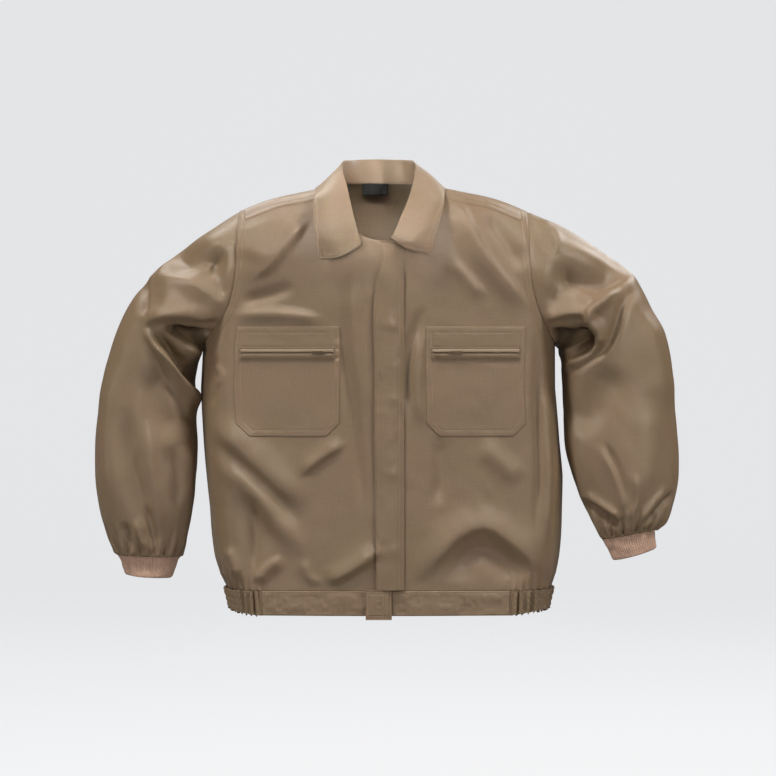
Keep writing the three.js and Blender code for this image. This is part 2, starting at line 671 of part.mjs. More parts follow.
// A small folded label let into the left side seam.
function sideLabel() {
  const { height, reach, wall, z } = SIDE_LABEL;
  const edge = halfWidth(z + height / 2) + GAP;
  return block([edge, edge + reach], [-wall / 2, wall / 2], [z - height / 2, z + height / 2]);
}

place("neck_label", neckLabel(), LABEL);
place("side_label", sideLabel(), LABEL);

export default jacket;
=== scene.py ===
# %% [markdown]
# # A khaki work jacket
# The jacket hangs as on a wearer: shirt collar, concealed snap front, two zipped chest pockets,
# set-in sleeves with rib cuffs and a waistband with elastic sides. The frame brings its hard pieces
# and its joints; every piece of cloth is made here, as a thin closed sheet, in millimetres.
# Left and right are the wearer's, so left is +X and the front faces -Y.

# %% Tools and frame
import math
import bpy
import numpy as np
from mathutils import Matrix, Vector


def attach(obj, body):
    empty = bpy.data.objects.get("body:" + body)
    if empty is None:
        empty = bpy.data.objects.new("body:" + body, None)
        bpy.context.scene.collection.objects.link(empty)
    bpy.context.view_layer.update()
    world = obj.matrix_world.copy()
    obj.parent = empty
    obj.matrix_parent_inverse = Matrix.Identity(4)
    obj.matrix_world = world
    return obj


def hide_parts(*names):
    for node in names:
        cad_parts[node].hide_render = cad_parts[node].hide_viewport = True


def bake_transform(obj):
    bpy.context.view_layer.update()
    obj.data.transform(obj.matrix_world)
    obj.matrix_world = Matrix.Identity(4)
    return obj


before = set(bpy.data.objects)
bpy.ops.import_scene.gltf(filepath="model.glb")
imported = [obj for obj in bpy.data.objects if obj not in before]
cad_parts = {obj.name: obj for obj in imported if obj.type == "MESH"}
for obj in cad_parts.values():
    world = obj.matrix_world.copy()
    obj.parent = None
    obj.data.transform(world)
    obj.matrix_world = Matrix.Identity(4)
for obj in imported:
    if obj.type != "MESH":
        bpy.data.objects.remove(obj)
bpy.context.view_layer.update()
MM = 0.001

# %% [markdown]
# ## Camera
# A garment is shown straight on and from far enough that its front isn't swollen by perspective. The
# camera stands three and a half metres in front, level with the middle of the jacket.

# %% Camera
camera_data = bpy.data.cameras.new("camera")
camera_data.sensor_width = 36
camera_data.lens = 107.6
camera_data.clip_end = 30
camera = bpy.data.objects.new("camera", camera_data)
bpy.context.scene.collection.objects.link(camera)
camera.location = (0.0075, -3.5, -0.309)
camera.rotation_euler = (math.radians(90), 0, 0)
bpy.context.scene.camera = camera
print("camera at", tuple(camera.location))

# %% [markdown]
# ## Lines, noise and folds
# Cloth is drawn with a few kinds of line. A curve goes smoothly through a handful of points. Noise
# is a table of seeded random numbers read smoothly, for puckers that never repeat. A fold is a
# stroke: a line on the cloth with a height and a width on each of its sides, tapering to nothing at
# its ends. A narrow side is steep, a wide side runs out gently.

# %% Curves and noise
def smooth(t):
    t = np.clip(t, 0.0, 1.0)
    return t * t * (3 - 2 * t)


def mix(a, b, t):
    return a + (b - a) * t


def loft(stations, count):
    """Rows through the stations, evenly by station, on Catmull-Rom curves."""
    p = np.asarray(stations, float)
    ends = np.concatenate([[2 * p[0] - p[1]], p, [2 * p[-1] - p[-2]]])
    t = np.linspace(0, len(p) - 1, count)
    i = np.minimum(t.astype(int), len(p) - 2)
    f = (t - i).reshape((-1,) + (1,) * (p.ndim - 1))
    a, b, c, d = ends[i], ends[i + 1], ends[i + 2], ends[i + 3]
    return 0.5 * (2 * b + (c - a) * f + (2 * a - 5 * b + 4 * c - d) * f**2 + (3 * b - a - 3 * c + d) * f**3)


def even_steps(line, count):
    """The same line at even steps of its length."""
    length = np.concatenate([[0], np.cumsum(np.linalg.norm(np.diff(line, axis=0), axis=1))])
    want = np.linspace(0, length[-1], count)
    return np.column_stack([np.interp(want, length, line[:, k]) for k in range(line.shape[1])])


def curve_through(points, count):
    return even_steps(loft(points, 24 * (len(points) - 1) + 1), count)


def noise(x, z, size, seed):
    """Smooth random heights from -1 to 1 with bumps about as wide as size."""
    table = np.random.default_rng(seed).uniform(-1, 1, (64, 64))
    u, v = x / size, z / size
    i, j = np.floor(u).astype(int), np.floor(v).astype(int)
    fu, fv = smooth(u - i), smooth(v - j)
    low = mix(table[i % 64, j % 64], table[(i + 1) % 64, j % 64], fu)
    high = mix(table[i % 64, (j + 1) % 64], table[(i + 1) % 64, (j + 1) % 64], fu)
    return mix(low, high, fv)


def near_line(x, z, line):
    """Distance to a line, how far along it from 0 to 1, and which side (positive is its left)."""
    best, along, side = np.full(x.shape, 1e9), np.zeros(x.shape), np.zeros(x.shape)
    last = len(line) - 1
    for k in range(last):
        (x0, z0), (x1, z1) = line[k], line[k + 1]
        dx, dz = x1 - x0, z1 - z0
        t = np.clip(((x - x0) * dx + (z - z0) * dz) / (dx * dx + dz * dz), 0, 1)
        ox, oz = x - x0 - t * dx, z - z0 - t * dz
        distance = np.hypot(ox, oz)
        nearer = distance < best
        best = np.where(nearer, distance, best)
        along = np.where(nearer, (k + t) / last, along)
        side = np.where(nearer, dx * oz - dz * ox, side)
    return best, along, side


def folds(x, z, strokes):
    """Height of the strokes: each is height, width on its left, width on its right, points."""
    total = np.zeros(x.shape)
    for height, left, right, points in strokes:
        distance, along, side = near_line(x, z, curve_through(points, 16))
        taper = smooth(along / 0.3) * smooth((1 - along) / 0.3)
        total += height * taper * np.exp(-((distance / np.where(side > 0, left, right)) ** 2))
    return total


print("folds ready")

# %% [markdown]
# ## From a grid of points to a sheet of cloth
# A sheet is made from a grid of points on its outer face. Each point is copied inwards by the
# thickness, and the open edges are joined, so every piece is one closed body. The piece keeps a UV
# map in metres, so that the weave has its true size everywhere.

# %% Sheet maker
CLOTH = 0.9


def grid_normals(points, wrap=False):
    if wrap:
        padded = np.concatenate([points[:, -2:-1], points, points[:, 1:2]], axis=1)
        across = (padded[:, 2:] - padded[:, :-2]) / 2
    else:
        across = np.gradient(points, axis=1)
    normals = np.cross(across, np.gradient(points, axis=0))
    return normals / np.maximum(np.linalg.norm(normals, axis=2, keepdims=True), 1e-9)


def new_object(name, verts, faces, loop_uv, material):
    mesh = bpy.data.meshes.new(name)
    mesh.from_pydata((np.asarray(verts) * MM).tolist(), [], faces)
    if loop_uv is not None:
        layer = mesh.uv_layers.new(name="cloth")
        layer.data.foreach_set("uv", np.asarray(loop_uv, np.float32).ravel())
    mesh.shade_smooth()
    mesh.materials.append(material)
    obj = bpy.data.objects.new(name, mesh)
    bpy.context.scene.collection.objects.link(obj)
    return obj


def sheet(name, points, material, thick=CLOTH, uv=None, hole=None, wrap=False, flip=False):
    """A closed sheet whose outer face is the grid. hole marks quads that are left out."""
    points = np.asarray(points, float)
    rows, columns = points.shape[:2]
    normals = grid_normals(points, wrap) * (-1 if flip else 1)
    inner = points - normals * thick
    if uv is None:
        step_u = np.linalg.norm(np.diff(points, axis=1), axis=2)
        step_v = np.linalg.norm(np.diff(points, axis=0), axis=2)
        u = np.concatenate([np.zeros((rows, 1)), np.cumsum(step_u, axis=1)], axis=1)
        u = np.broadcast_to(u.mean(axis=0), (rows, columns))
        v = np.concatenate([np.zeros((1, columns)), np.cumsum(step_v, axis=0)], axis=0)
        v = np.broadcast_to(v.mean(axis=1)[:, None], (rows, columns))
        uv = np.stack([u, v], axis=2)
    keep = np.ones((rows - 1, columns - 1), bool) if hole is None else ~hole
    index = np.arange(rows * columns).reshape(rows, columns)
    if wrap:
        index[:, -1] = index[:, 0]
    quads = np.stack([index[:-1, :-1], index[:-1, 1:], index[1:, 1:], index[1:, :-1]], axis=2)[keep]
    if flip:
        quads = quads[:, ::-1]
    edges = np.concatenate([quads[:, [k, (k + 1) % 4]] for k in range(4)])
    key = edges[:, 0] * (rows * columns) + edges[:, 1]
    back_key = edges[:, 1] * (rows * columns) + edges[:, 0]
    rim = edges[~np.isin(key, back_key)]
    count = rows * columns
    walls = np.stack([rim[:, 1], rim[:, 0], rim[:, 0] + count, rim[:, 1] + count], axis=1)
    faces = np.concatenate([quads, quads[:, ::-1] + count, walls])
    verts = np.concatenate([points.reshape(-1, 3), inner.reshape(-1, 3)])
    flat_uv = uv.reshape(-1, 2) * MM
    uv_index = np.arange(rows * columns).reshape(rows, columns)
    uv_quads = np.stack([uv_index[:-1, :-1], uv_index[:-1, 1:], uv_index[1:, 1:], uv_index[1:, :-1]], axis=2)
    uv_quads = uv_quads[keep]
    if flip:
        uv_quads = uv_quads[:, ::-1]
    loop_uv = flat_uv[np.concatenate([uv_quads, uv_quads[:, ::-1], walls % count]).ravel()]
    used = np.unique(faces)
    renumber = np.zeros(len(verts), int)
    renumber[used] = np.arange(len(used))
    obj = new_object(name, verts[used], renumber[faces].tolist(), loop_uv, material)
    print(name, len(obj.data.polygons), "faces")
    return obj


# %% [markdown]
# ## Weave and colour
# Work twill has fine diagonal ribs and a soft satin sheen. Its colour also wanders slightly between the khaki
# and a pinkish tint;
# that tint is painted sheen, the colour the satin takes in its highlights, scattered by noise rather than by
# the light. The weave and the tone with its painted sheen are two shader node groups, shared by all the
# cloth; each material places them with its own values and feeds them to its own Principled shader.

# %% Node groups
def add_node(tree, kind, inputs=(), **settings):
    node = tree.nodes.new(kind)
    for name, value in settings.items():
        setattr(node, name, value)
    for slot, value in dict(inputs).items():
        if isinstance(value, bpy.types.NodeSocket):
            tree.links.new(value, node.inputs[slot])
        else:
            node.inputs[slot].default_value = value
    return node


def maths(tree, operation, a, b=0.0):
    return add_node(tree, "ShaderNodeMath", {0: a, 1: b}, operation=operation).outputs[0]


def node_group(name, inputs, outputs):
    group = bpy.data.node_groups.new(name, "ShaderNodeTree")
    for label, kind, value in inputs:
        socket = group.interface.new_socket(label, in_out="INPUT", socket_type=kind)
        if value is not None:
            socket.default_value = value
    for label, kind in outputs:
        group.interface.new_socket(label, in_out="OUTPUT", socket_type=kind)
    return group, group.nodes.new("NodeGroupInput"), group.nodes.new("NodeGroupOutput")


def make_twill_weave():
    """Diagonal ribs and the threads that cross them, as one height."""
    group, given, out = node_group(
        "Twill weave",
        [("Cloth place", "NodeSocketVector", None), ("Ribs per metre", "NodeSocketFloat", 900.0)],
        [("Height", "NodeSocketFloat")],
    )
    place = add_node(group, "ShaderNodeSeparateXYZ", {0: given.outputs[0]})
    diagonal = maths(group, "ADD", place.outputs[0], maths(group, "MULTIPLY", place.outputs[1], 0.6))
    turn = maths(group, "MULTIPLY", maths(group, "MULTIPLY", diagonal, given.outputs[1]), 2 * math.pi)
    ribs = maths(group, "SINE", turn)
    upward = maths(group, "MULTIPLY", place.outputs[1], given.outputs[1])
    cross = maths(group, "MULTIPLY", upward, 4 * math.pi)
    threads = maths(group, "MULTIPLY", maths(group, "SINE", cross), 0.35)
    group.links.new(maths(group, "ADD", ribs, threads), out.inputs[0])
    return group


def make_cloth_tone_and_sheen():
    """A slow random shift towards a pinkish painted sheen tint over the cloth, and fine uneven threads along
    both its ways.
    """
    group, given, out = node_group(
        "Cloth tone and painted sheen",
        [("Cloth place", "NodeSocketVector", None), ("Colour", "NodeSocketColor", (0.3, 0.22, 0.15, 1)),
         ("Painted sheen colour", "NodeSocketColor", (0.34, 0.22, 0.16, 1)), ("Fleck", "NodeSocketFloat", 0.06)],
        [("Colour", "NodeSocketColor")],
    )
    sheen_drift = add_node(group, "ShaderNodeTexNoise", {"Vector": given.outputs[0], "Scale": 9.0, "Detail": 2.0})
    threads = []
    for stretch in ((1.0, 0.06, 1.0), (0.06, 1.0, 1.0)):
        thread = add_node(group, "ShaderNodeMapping", {"Vector": given.outputs[0], "Scale": stretch})
        slub = add_node(group, "ShaderNodeTexNoise", {"Vector": thread.outputs[0], "Scale": 900.0})
        threads.append(slub.outputs[0])
    fine = maths(group, "MULTIPLY", maths(group, "ADD", *threads), 0.5)
    # painted sheen: the noise blends each spot from the cloth colour towards the pinkish sheen tint
    hue = add_node(group, "ShaderNodeMapRange", {0: sheen_drift.outputs[0], 1: 0.35, 2: 0.65})
    mixed = add_node(group, "ShaderNodeMix", {0: hue.outputs[0], 6: given.outputs[1], 7: given.outputs[2]},
                     data_type="RGBA")
    centred = maths(group, "SUBTRACT", fine, 0.5)
    value = maths(group, "ADD", maths(group, "MULTIPLY", centred, given.outputs[3]), 1.0)
    toned = add_node(group, "ShaderNodeHueSaturation", {"Value": value, "Color": mixed.outputs[2]})
    group.links.new(toned.outputs[0], out.inputs[0])
    return group


TWILL_WEAVE = make_twill_weave()
CLOTH_TONE_AND_SHEEN = make_cloth_tone_and_sheen()
print("node groups", TWILL_WEAVE.name, CLOTH_TONE_AND_SHEEN.name)


# %% Materials
def linear(red, green, blue):
    """A screen colour from 0 to 255 as the linear colour that a shader takes."""
    def channel(c):
        c /= 255
        return c / 12.92 if c <= 0.04045 else ((c + 0.055) / 1.055) ** 2.4
    return (channel(red), channel(green), channel(blue), 1)


def cloth_material(name, colour, painted_sheen_colour, roughness=0.55, sheen=0.15, ribs=900.0, relief=0.00012, fleck=0.5):
    material = bpy.data.materials.new(name)
    material.use_nodes = True
    tree = material.node_tree
    shader = tree.nodes["Principled BSDF"]
    place = add_node(tree, "ShaderNodeUVMap", uv_map="cloth").outputs[0]
    tone = add_node(tree, "ShaderNodeGroup", node_tree=CLOTH_TONE_AND_SHEEN)
    tree.links.new(place, tone.inputs[0])
    tone.inputs[1].default_value = colour
    tone.inputs[2].default_value = painted_sheen_colour
    tone.inputs[3].default_value = fleck
    weave = add_node(tree, "ShaderNodeGroup", node_tree=TWILL_WEAVE)
    tree.links.new(place, weave.inputs[0])
    weave.inputs[1].default_value = ribs
    bump = add_node(tree, "ShaderNodeBump", {"Height": weave.outputs[0], "Strength": 0.6, "Distance": relief})
    tree.links.new(tone.outputs[0], shader.inputs["Base Color"])
    tree.links.new(bump.outputs[0], shader.inputs["Normal"])
    shader.inputs["Roughness"].default_value = roughness
    shader.inputs["Sheen Weight"].default_value = sheen
    shader.inputs["Sheen Roughness"].default_value = 0.4
    shader.inputs["Sheen Tint"].default_value = (1.0, 0.86, 0.72, 1)
    return material


def plain_material(name, colour, roughness, metallic=0.0):
    material = bpy.data.materials.new(name)
    material.use_nodes = True
    shader = material.node_tree.nodes["Principled BSDF"]
    shader.inputs["Base Color"].default_value = colour
    shader.inputs["Roughness"].default_value = roughness
    shader.inputs["Metallic"].default_value = metallic
    return material


# each cloth's second colour is its painted sheen tint, blended in by the tone group
TWILL = cloth_material("khaki twill", linear(134, 114, 89), linear(139, 115, 92), roughness=0.33)
RIB = cloth_material("rib knit", linear(190, 158, 138), linear(194, 159, 141), roughness=0.75, ribs=500.0)
THREAD = plain_material("sewing thread", linear(158, 134, 108), 0.6)
TAPE = cloth_material("zip tape", linear(118, 100, 80), linear(122, 102, 84), roughness=0.8, ribs=1200.0)
NYLON = plain_material("zip teeth", linear(92, 78, 62), 0.45)
METAL = plain_material("zip metal", linear(112, 98, 82), 0.42, 1.0)
SNAP_METAL = plain_material("snap metal", linear(168, 164, 156), 0.28, 1.0)
LABEL = cloth_material("black label", linear(24, 24, 26), linear(30, 29, 31), roughness=0.6, ribs=1500.0)
WEBBING = cloth_material("elastic webbing", linear(214, 208, 196), linear(218, 211, 200), roughness=0.85)
print("materials", len(bpy.data.materials))

# %% [markdown]
# ## The shape under the cloth
# The body of the jacket is two shallow faces that round over at the sides and shoulders. The same
# few sizes as in the frame give it: how wide it is at each height, how deep, and how it rounds. Here
# its kinks are softened, because cloth under the light shows every one.

# %% Torso shape
HALF_WIDTHS = np.array([  # height, half the width there
    [-646, 238], [-606, 243], [-585, 251], [-540, 259], [-440, 264], [-340, 264], [-245, 262],
])
FRONT_DEPTH, BACK_DEPTH = 92.0, 98.0
FRONT_LEAN, BACK_LEAN = 0.04, -0.02
FRONT_NECK, BACK_NECK = -92.0, 3.0
FLAT_HALF, SIDE_SLOPE, SIDE_ROUND = 45.0, 0.07, 50.0
SHOULDER_ROLL = 110.0
SHOULDER_LINE = np.array([  # distance from the middle, height there
    [0, 14], [75, -3], [100, -9], [130, -15], [160, -21], [188, -30], [214, -42], [262, -62],
])
NECK_HALF, SHOULDER_HALF, ARMPIT, ARMHOLE_CURVE = 75.0, 216.0, -245.0, 4
HEM, BAND_HEIGHT = -646.0, 40.0
BAND_TOP = HEM + BAND_HEIGHT
FRONT, BACK = -1, 1
ZIP_Z = -258.0


def read_softly(table, at, step):
    """The table read at five places about the spot and averaged, which rounds its kinks."""
    return sum(np.interp(at + k * step, table[:, 0], table[:, 1]) for k in (-2, -1, 0, 1, 2)) / 5


def half_width(z):
    return read_softly(HALF_WIDTHS, z, 12)


def ridge(x):
    """Height of the shoulder above a spot across the body."""
    return read_softly(SHOULDER_LINE, np.abs(np.asarray(x, float)), 8)


def quarter(t):
    return np.sqrt(np.clip(1 - t * t, 0, 1))


def soft_above(x, start, reach):
    """How far x is above start, turning smoothly from nothing."""
    return reach * np.logaddexp(0, (x - start) / reach)


def stand_off(x, z, face):
    across = np.abs(x)
    plane_end = half_width(z) - SIDE_ROUND
    depth, lean = (FRONT_DEPTH, FRONT_LEAN) if face == FRONT else (BACK_DEPTH, BACK_LEAN)
    fall = soft_above(across, FLAT_HALF, 14) - soft_above(across, plane_end, 14)
    plane = depth + lean * (-90 - z) - SIDE_SLOPE * fall
    sideways = np.clip((across - plane_end) / SIDE_ROUND, 0, 1)
    upwards = 1 - np.clip((ridge(x) - z) / SHOULDER_ROLL, 0, 1)
    return plane * quarter(sideways) * quarter(upwards)


SWING = np.array([  # height, how much wider the right side hangs, and the left side
    [-646, -13, 6], [-608, -10, 8], [-585, -4, 11], [-560, -2, 10], [-487, -1, 8], [-440, 2, 7],
    [-391, 6, 2], [-310, 11, -4], [-245, 9, -3], [-190, 0, 0],
])


def torso_point(x, z, face):
    wider = np.where(x < 0, np.interp(z, SWING[:, 0], SWING[:, 1]), np.interp(z, SWING[:, 0], SWING[:, 2]))
    swung = x + np.sign(x) * wider * smooth((np.abs(x) - 120) / 130)
    return np.stack([swung, face * stand_off(x, z, face), z], axis=-1)


def torso_normal(x, z, face):
    slope_x = stand_off(x + 0.5, z, face) - stand_off(x - 0.5, z, face)
    slope_z = stand_off(x, z + 0.5, face) - stand_off(x, z - 0.5, face)
    normal = np.stack([-slope_x, np.full(x.shape, float(face)), -slope_z], axis=-1)
    return normal / np.linalg.norm(normal, axis=-1, keepdims=True)


def neck_line(angle, neck):
    top = ridge(NECK_HALF)
    return NECK_HALF * np.sin(angle), top - (top - neck) * np.cos(angle)


def armhole(m):
    """The armhole line, from 0 at the armpit to 1 at the shoulder."""
    down = (1 + np.cos(m * math.pi)) / 2
    flare = half_width(ARMPIT) - SHOULDER_HALF
    return SHOULDER_HALF + flare * down**ARMHOLE_CURVE, mix(ridge(SHOULDER_HALF), ARMPIT, down)


print("shoulder point", armhole(1.0))

# %% [markdown]
# ## Folds of the body
# Hanging cloth falls in a few long soft folds from the shoulders, the pockets and the elastic sides.
# They are drawn as strokes over the front and over the back. Small puckers gather above the
# elastic, and a faint unevenness keeps wide areas from looking like moulded plastic.

# %% Body folds
FRONT_STROKES = [
    (6.5, 26, 15, [(-250, -345), (-207, -395), (-165, -440), (-106, -494)]),
    (-3.5, 12, 12, [(-246, -382), (-200, -428), (-150, -472), (-114, -508)]),
    (6.5, 14, 18, [(-244, -408), (-190, -458), (-150, -508), (-108, -562)]),
    (-3.5, 14, 20, [(-220, -462), (-185, -502), (-158, -552)]),
    (4.0, 14, 5, [(-126, -440), (-95, -416), (-52, -386)]),
    (-4.5, 7, 8, [(-61, -165), (-58, -245), (-49, -300), (-40, -365), (-34, -440), (-30, -510)]),
    (3.0, 10, 10, [(-44, -118), (-42, -200), (-36, -270), (-28, -350)]),
    (4.5, 8, 12, [(-226, -204), (-175, -200), (-125, -203), (-80, -212)]),
    (-4.0, 12, 8, [(-214, -184), (-170, -174), (-124, -158)]),
    (4.5, 26, 8, [(-207, -152), (-172, -132), (-142, -98), (-102, -46)]),
    (3.0, 22, 26, [(-196, -56), (-188, -90), (-196, -128)]),
    (6.0, 8, 20, [(108, -22), (131, -76), (154, -118), (186, -158), (217, -200)]),
    (-5.0, 16, 12, [(148, -44), (176, -86), (208, -138)]),
    (3.0, 8, 12, [(94, -114), (122, -146), (154, -182)]),
    (-4.5, 6, 9, [(60, -185), (44, -240), (38, -300), (45, -362)]),
    (3.5, 7, 10, [(62, -214), (54, -270), (53, -330), (64, -376)]),
    (6.5, 24, 10, [(40, -602), (80, -556), (112, -524), (148, -512), (180, -532), (240, -590)]),
    (-5.0, 12, 22, [(88, -596), (130, -550), (166, -552), (204, -596)]),
    (3.5, 16, 16, [(136, -390), (165, -412), (200, -450)]),
    (-3.5, 10, 10, [(78, -372), (85, -430), (80, -486)]),
    (-5.0, 7, 7, [(233, -230), (230, -330), (225, -430), (216, -540)]),
    (4.0, 8, 8, [(246, -270), (241, -380), (235, -480), (226, -566)]),
    (-3.5, 6, 6, [(252, -370), (247, -460), (240, -536)]),
    (2.5, 6, 6, [(-242, -272), (-229, -290), (-238, -310)]),
    (-3.0, 9, 9, [(-247, -255), (-240, -300), (-248, -345)]),
    (4.5, 7, 12, [(-194, -600), (-172, -574), (-144, -554)]),
    (-3.5, 6, 8, [(-193, -462), (-188, -520), (-190, -584)]),
    (4.5, 7, 7, [(-232, -540), (-222, -560), (-214, -590)]),
    (5.5, 16, 7, [(-92, -604), (-54, -580), (-27, -563), (2, -538)]),
    (3.0, 8, 8, [(-118, -556), (-108, -585), (-86, -604)]),
]
BACK_STROKES = [
    (5.0, 30, 38, [(-150, -40), (-120, -140), (-100, -260), (-110, -380)]),
    (-4.0, 26, 30, [(-80, -60), (-60, -180), (-50, -320), (-58, -440)]),
    (5.0, 34, 30, [(140, -50), (120, -150), (95, -270), (88, -400)]),
    (-4.0, 26, 26, [(60, -80), (42, -200), (40, -340), (34, -470)]),
    (5.0, 20, 28, [(-215, -190), (-170, -260), (-140, -350), (-150, -450)]),
    (5.5, 28, 20, [(216, -190), (176, -265), (150, -360), (158, -470)]),
    (-4.0, 18, 24, [(-225, -260), (-195, -360), (-190, -470)]),
    (-4.0, 20, 18, [(228, -270), (198, -370), (196, -480)]),
    (4.5, 20, 26, [(-190, -480), (-130, -530), (-80, -580)]),
    (4.5, 24, 20, [(185, -500), (130, -545), (70, -588)]),
    (4.0, 22, 22, [(-20, -430), (-8, -500), (-14, -580)]),
    (3.0, 16, 22, [(-70, -18), (0, -34), (70, -20)]),
]
FOLD_DEPTH, SLEEVE_FOLD_DEPTH = 1.45, 1.25  # how much deeper the strokes are pressed than they say
ZIP_FLAT = 24  # how far above and below a zip the cloth starts to be held flat


def gathers(x, z, face):
    """Small upright pleats that fade above the elastic sides."""
    reach = 46 + 30 * noise(x, z * 0, 11, 5)
    fade = smooth((np.abs(x) - 168) / 30) * np.clip(1 - (z - BAND_TOP) / reach, 0, 1) ** 2
    return fade * (2.2 * np.sin(np.abs(x) * 0.62 + 1.6 * noise(x, z, 30, 6 + face)) + 1.2 * noise(x, z, 9, 9))


def body_height(x, z, face):
    height = FOLD_DEPTH * folds(x, z, FRONT_STROKES if face == FRONT else BACK_STROKES)
    height += 0.8 * noise(x, z, 46, 11 + face) + 0.35 * noise(x, z, 19, 17 + face)
    edge = smooth((half_width(z) - np.abs(x)) / 26) * smooth((ridge(x) - z) / 40)
    band = smooth((z - BAND_TOP) / 22)
    if face == FRONT:  # the zips hold the cloth flat
        across = smooth((np.abs(x) - 56) / 12) * smooth((226 - np.abs(x)) / 12)
        band = band * (1 - across * smooth((ZIP_FLAT - np.abs(z - ZIP_Z)) / 12))
    return height * edge * band + gathers(x, z, face) * smooth((half_width(z) - np.abs(x)) / 5)


def on_body(x, z, face, lift=0.0):
    """A point on the folded cloth of the body, lifted off it."""
    x, z = np.broadcast_arrays(np.asarray(x, float), np.asarray(z, float))
    height = body_height(x, z, face) + lift
    return torso_point(x, z, face) + torso_normal(x, z, face) * height[..., None]


print("folds on the front", len(FRONT_STROKES), "on the back", len(BACK_STROKES))

# %% [markdown]
# ## Body panels
# Each front goes from the centre edge to the side seam, the armhole, the shoulder and the neck. Its
# rows follow these edges, closer together where the cloth turns at the side. The back is one
# panel, so its rows run from armhole to armhole and rise with the shoulders.

# %% Panels
BELOW, ABOVE, ACROSS, BACK_ACROSS = 150, 130, 110, 167  # rows up to the armpit, rows over it, columns
NECK_PART = 5 / 9  # how much of the rise above the armpit follows the neck
UNDER_BAND = 0.4  # how far the panels reach into the band


def front_rows(centre):
    start = math.asin(abs(centre) / NECK_HALF)
    if centre < 0:
        start = -start
    turn = np.sin(np.linspace(0, math.pi / 2, ACROSS))
    low_z = np.linspace(BAND_TOP - UNDER_BAND, ARMPIT, BELOW, endpoint=False)
    rows = [(centre, z, half_width(z), z) for z in low_z]
    for f in np.linspace(0, 1, ABOVE):
        x1, z1 = armhole(f)
        if f < 1 - NECK_PART:
            x0, z0 = centre, mix(ARMPIT, neck_line(start, FRONT_NECK)[1], f / (1 - NECK_PART))
        else:
            angle = mix(start, math.pi / 2, (f - 1 + NECK_PART) / NECK_PART)
            x0, z0 = neck_line(angle, FRONT_NECK)
        rows.append((x0, z0, x1, z1))
    r = np.array(rows, float)
    x, z = mix(r[:, :1], r[:, 2:3], turn), mix(r[:, 1:2], r[:, 3:4], turn)
    top_x, top_z = [NECK_HALF, SHOULDER_HALF], [ridge(NECK_HALF), ridge(SHOULDER_HALF)]
    rise = (ridge(x) - np.interp(x, top_x, top_z)) * (x > NECK_HALF) * (x < SHOULDER_HALF)
    climb = np.concatenate([np.zeros(BELOW), np.linspace(0, 1, ABOVE)])[:, None]
    return x, z + rise * climb**2


def make_front(name, centre, side):
    x, z = front_rows(centre)
    points = on_body(x * side, z, FRONT)
    return sheet(name, points, TWILL, uv=np.stack([x, z], axis=2), flip=side < 0)


STITCH_X, UNDERLAP_X = 31.0, 28.0
front_left = make_front("front_panel_left_cloth", STITCH_X - 4, 1)
front_right = make_front("front_panel_right_cloth", -UNDERLAP_X, -1)


def back_grid():
    m = np.concatenate([np.zeros(BELOW), np.linspace(0, 1, ABOVE)])
    half, low = armhole(m)
    low[:BELOW] = np.linspace(BAND_TOP - UNDER_BAND, ARMPIT, BELOW, endpoint=False)
    half[:BELOW] = half_width(low[:BELOW])
    s = np.sin(np.linspace(-math.pi / 2, math.pi / 2, BACK_ACROSS))
    x = half[:, None] * s
    neck = ridge(NECK_HALF) + (BACK_NECK - ridge(NECK_HALF)) * quarter(x / NECK_HALF)
    top = np.where(np.abs(x) < NECK_HALF, neck, ridge(x))
    lift = (top - ridge(SHOULDER_HALF)) * smooth(np.clip(m, 0, 1))[:, None] * (m > 0)[:, None]
    return x, low[:, None] + lift


back_x, back_z = back_grid()
back = sheet("back_panel_cloth", on_body(back_x, back_z, BACK), TWILL,
             uv=np.stack([back_x, back_z], axis=2), flip=True)

def area_of(obj):
    return sum(p.area for p in obj.data.polygons) / 2


def dress(obj, body, nodes):
    """Puts a cloth piece on its body and in the place of its nodes, and states its cut size."""
    if body:
        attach(obj, body)
    if nodes:
        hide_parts(*nodes)
    print(obj.name, "area", round(area_of(obj), 4), "m2")
    return obj


dress(front_left, "torso", ["front_panel_left"])
dress(front_right, "torso", ["front_panel_right"])
dress(back, "torso", ["back_panel"])

# %% [markdown]
# ## Sleeves
# A set-in sleeve starts at the armhole, where the body's cloth ends, and closes to an oval that
# turns down the arm and narrows to the cuff. The rings between are read smoothly from a few sections,
# each given by its inner and outer edge, how far back its middle lies and its half depth. The arm's
# folds are strokes as seen from the front, and others as seen from the back.

# %% Sleeve shape
SLEEVES = {
    "left": [
        [266, -252, 268, -65, -3, 84], [267, -262, 326, -101, -6, 82], [268, -275, 376, -139, -9, 79],
        [269, -298, 412, -211, -13, 74], [270, -335, 430, -283, -18, 70], [272, -391, 439, -365, -28, 66],
        [281, -433, 441, -430, -37, 62], [296, -478, 434, -474, -46, 54], [314, -512, 421, -505, -53, 44],
        [325, -533, 405, -518, -55, 34],
    ],
    "right": [
        [276, -252, 262, -73, -2, 84], [277, -262, 317, -110, -4, 81], [279, -279, 364, -157, -7, 77],
        [282, -302, 396, -212, -10, 72], [281, -342, 417, -283, -14, 68], [278, -395, 428, -365, -19, 64],
        [280, -445, 430, -440, -24, 60], [286, -500, 423, -495, -29, 53], [295, -539, 409, -534, -33, 43],
        [303, -561, 398, -557, -35, 35],
    ],
}
CUFFS = {
    "left": [
        [325, -532, 404, -517, -55, 33], [332, -548, 404, -529, -58, 31], [339, -565, 407, -545, -60, 32],
    ],
    "right": [
        [303, -560, 397, -556, -35, 34], [309, -576, 390, -570, -36, 31], [316, -592, 386, -587, -37, 32],
    ],
}
AROUND, ALONG = 221, 212


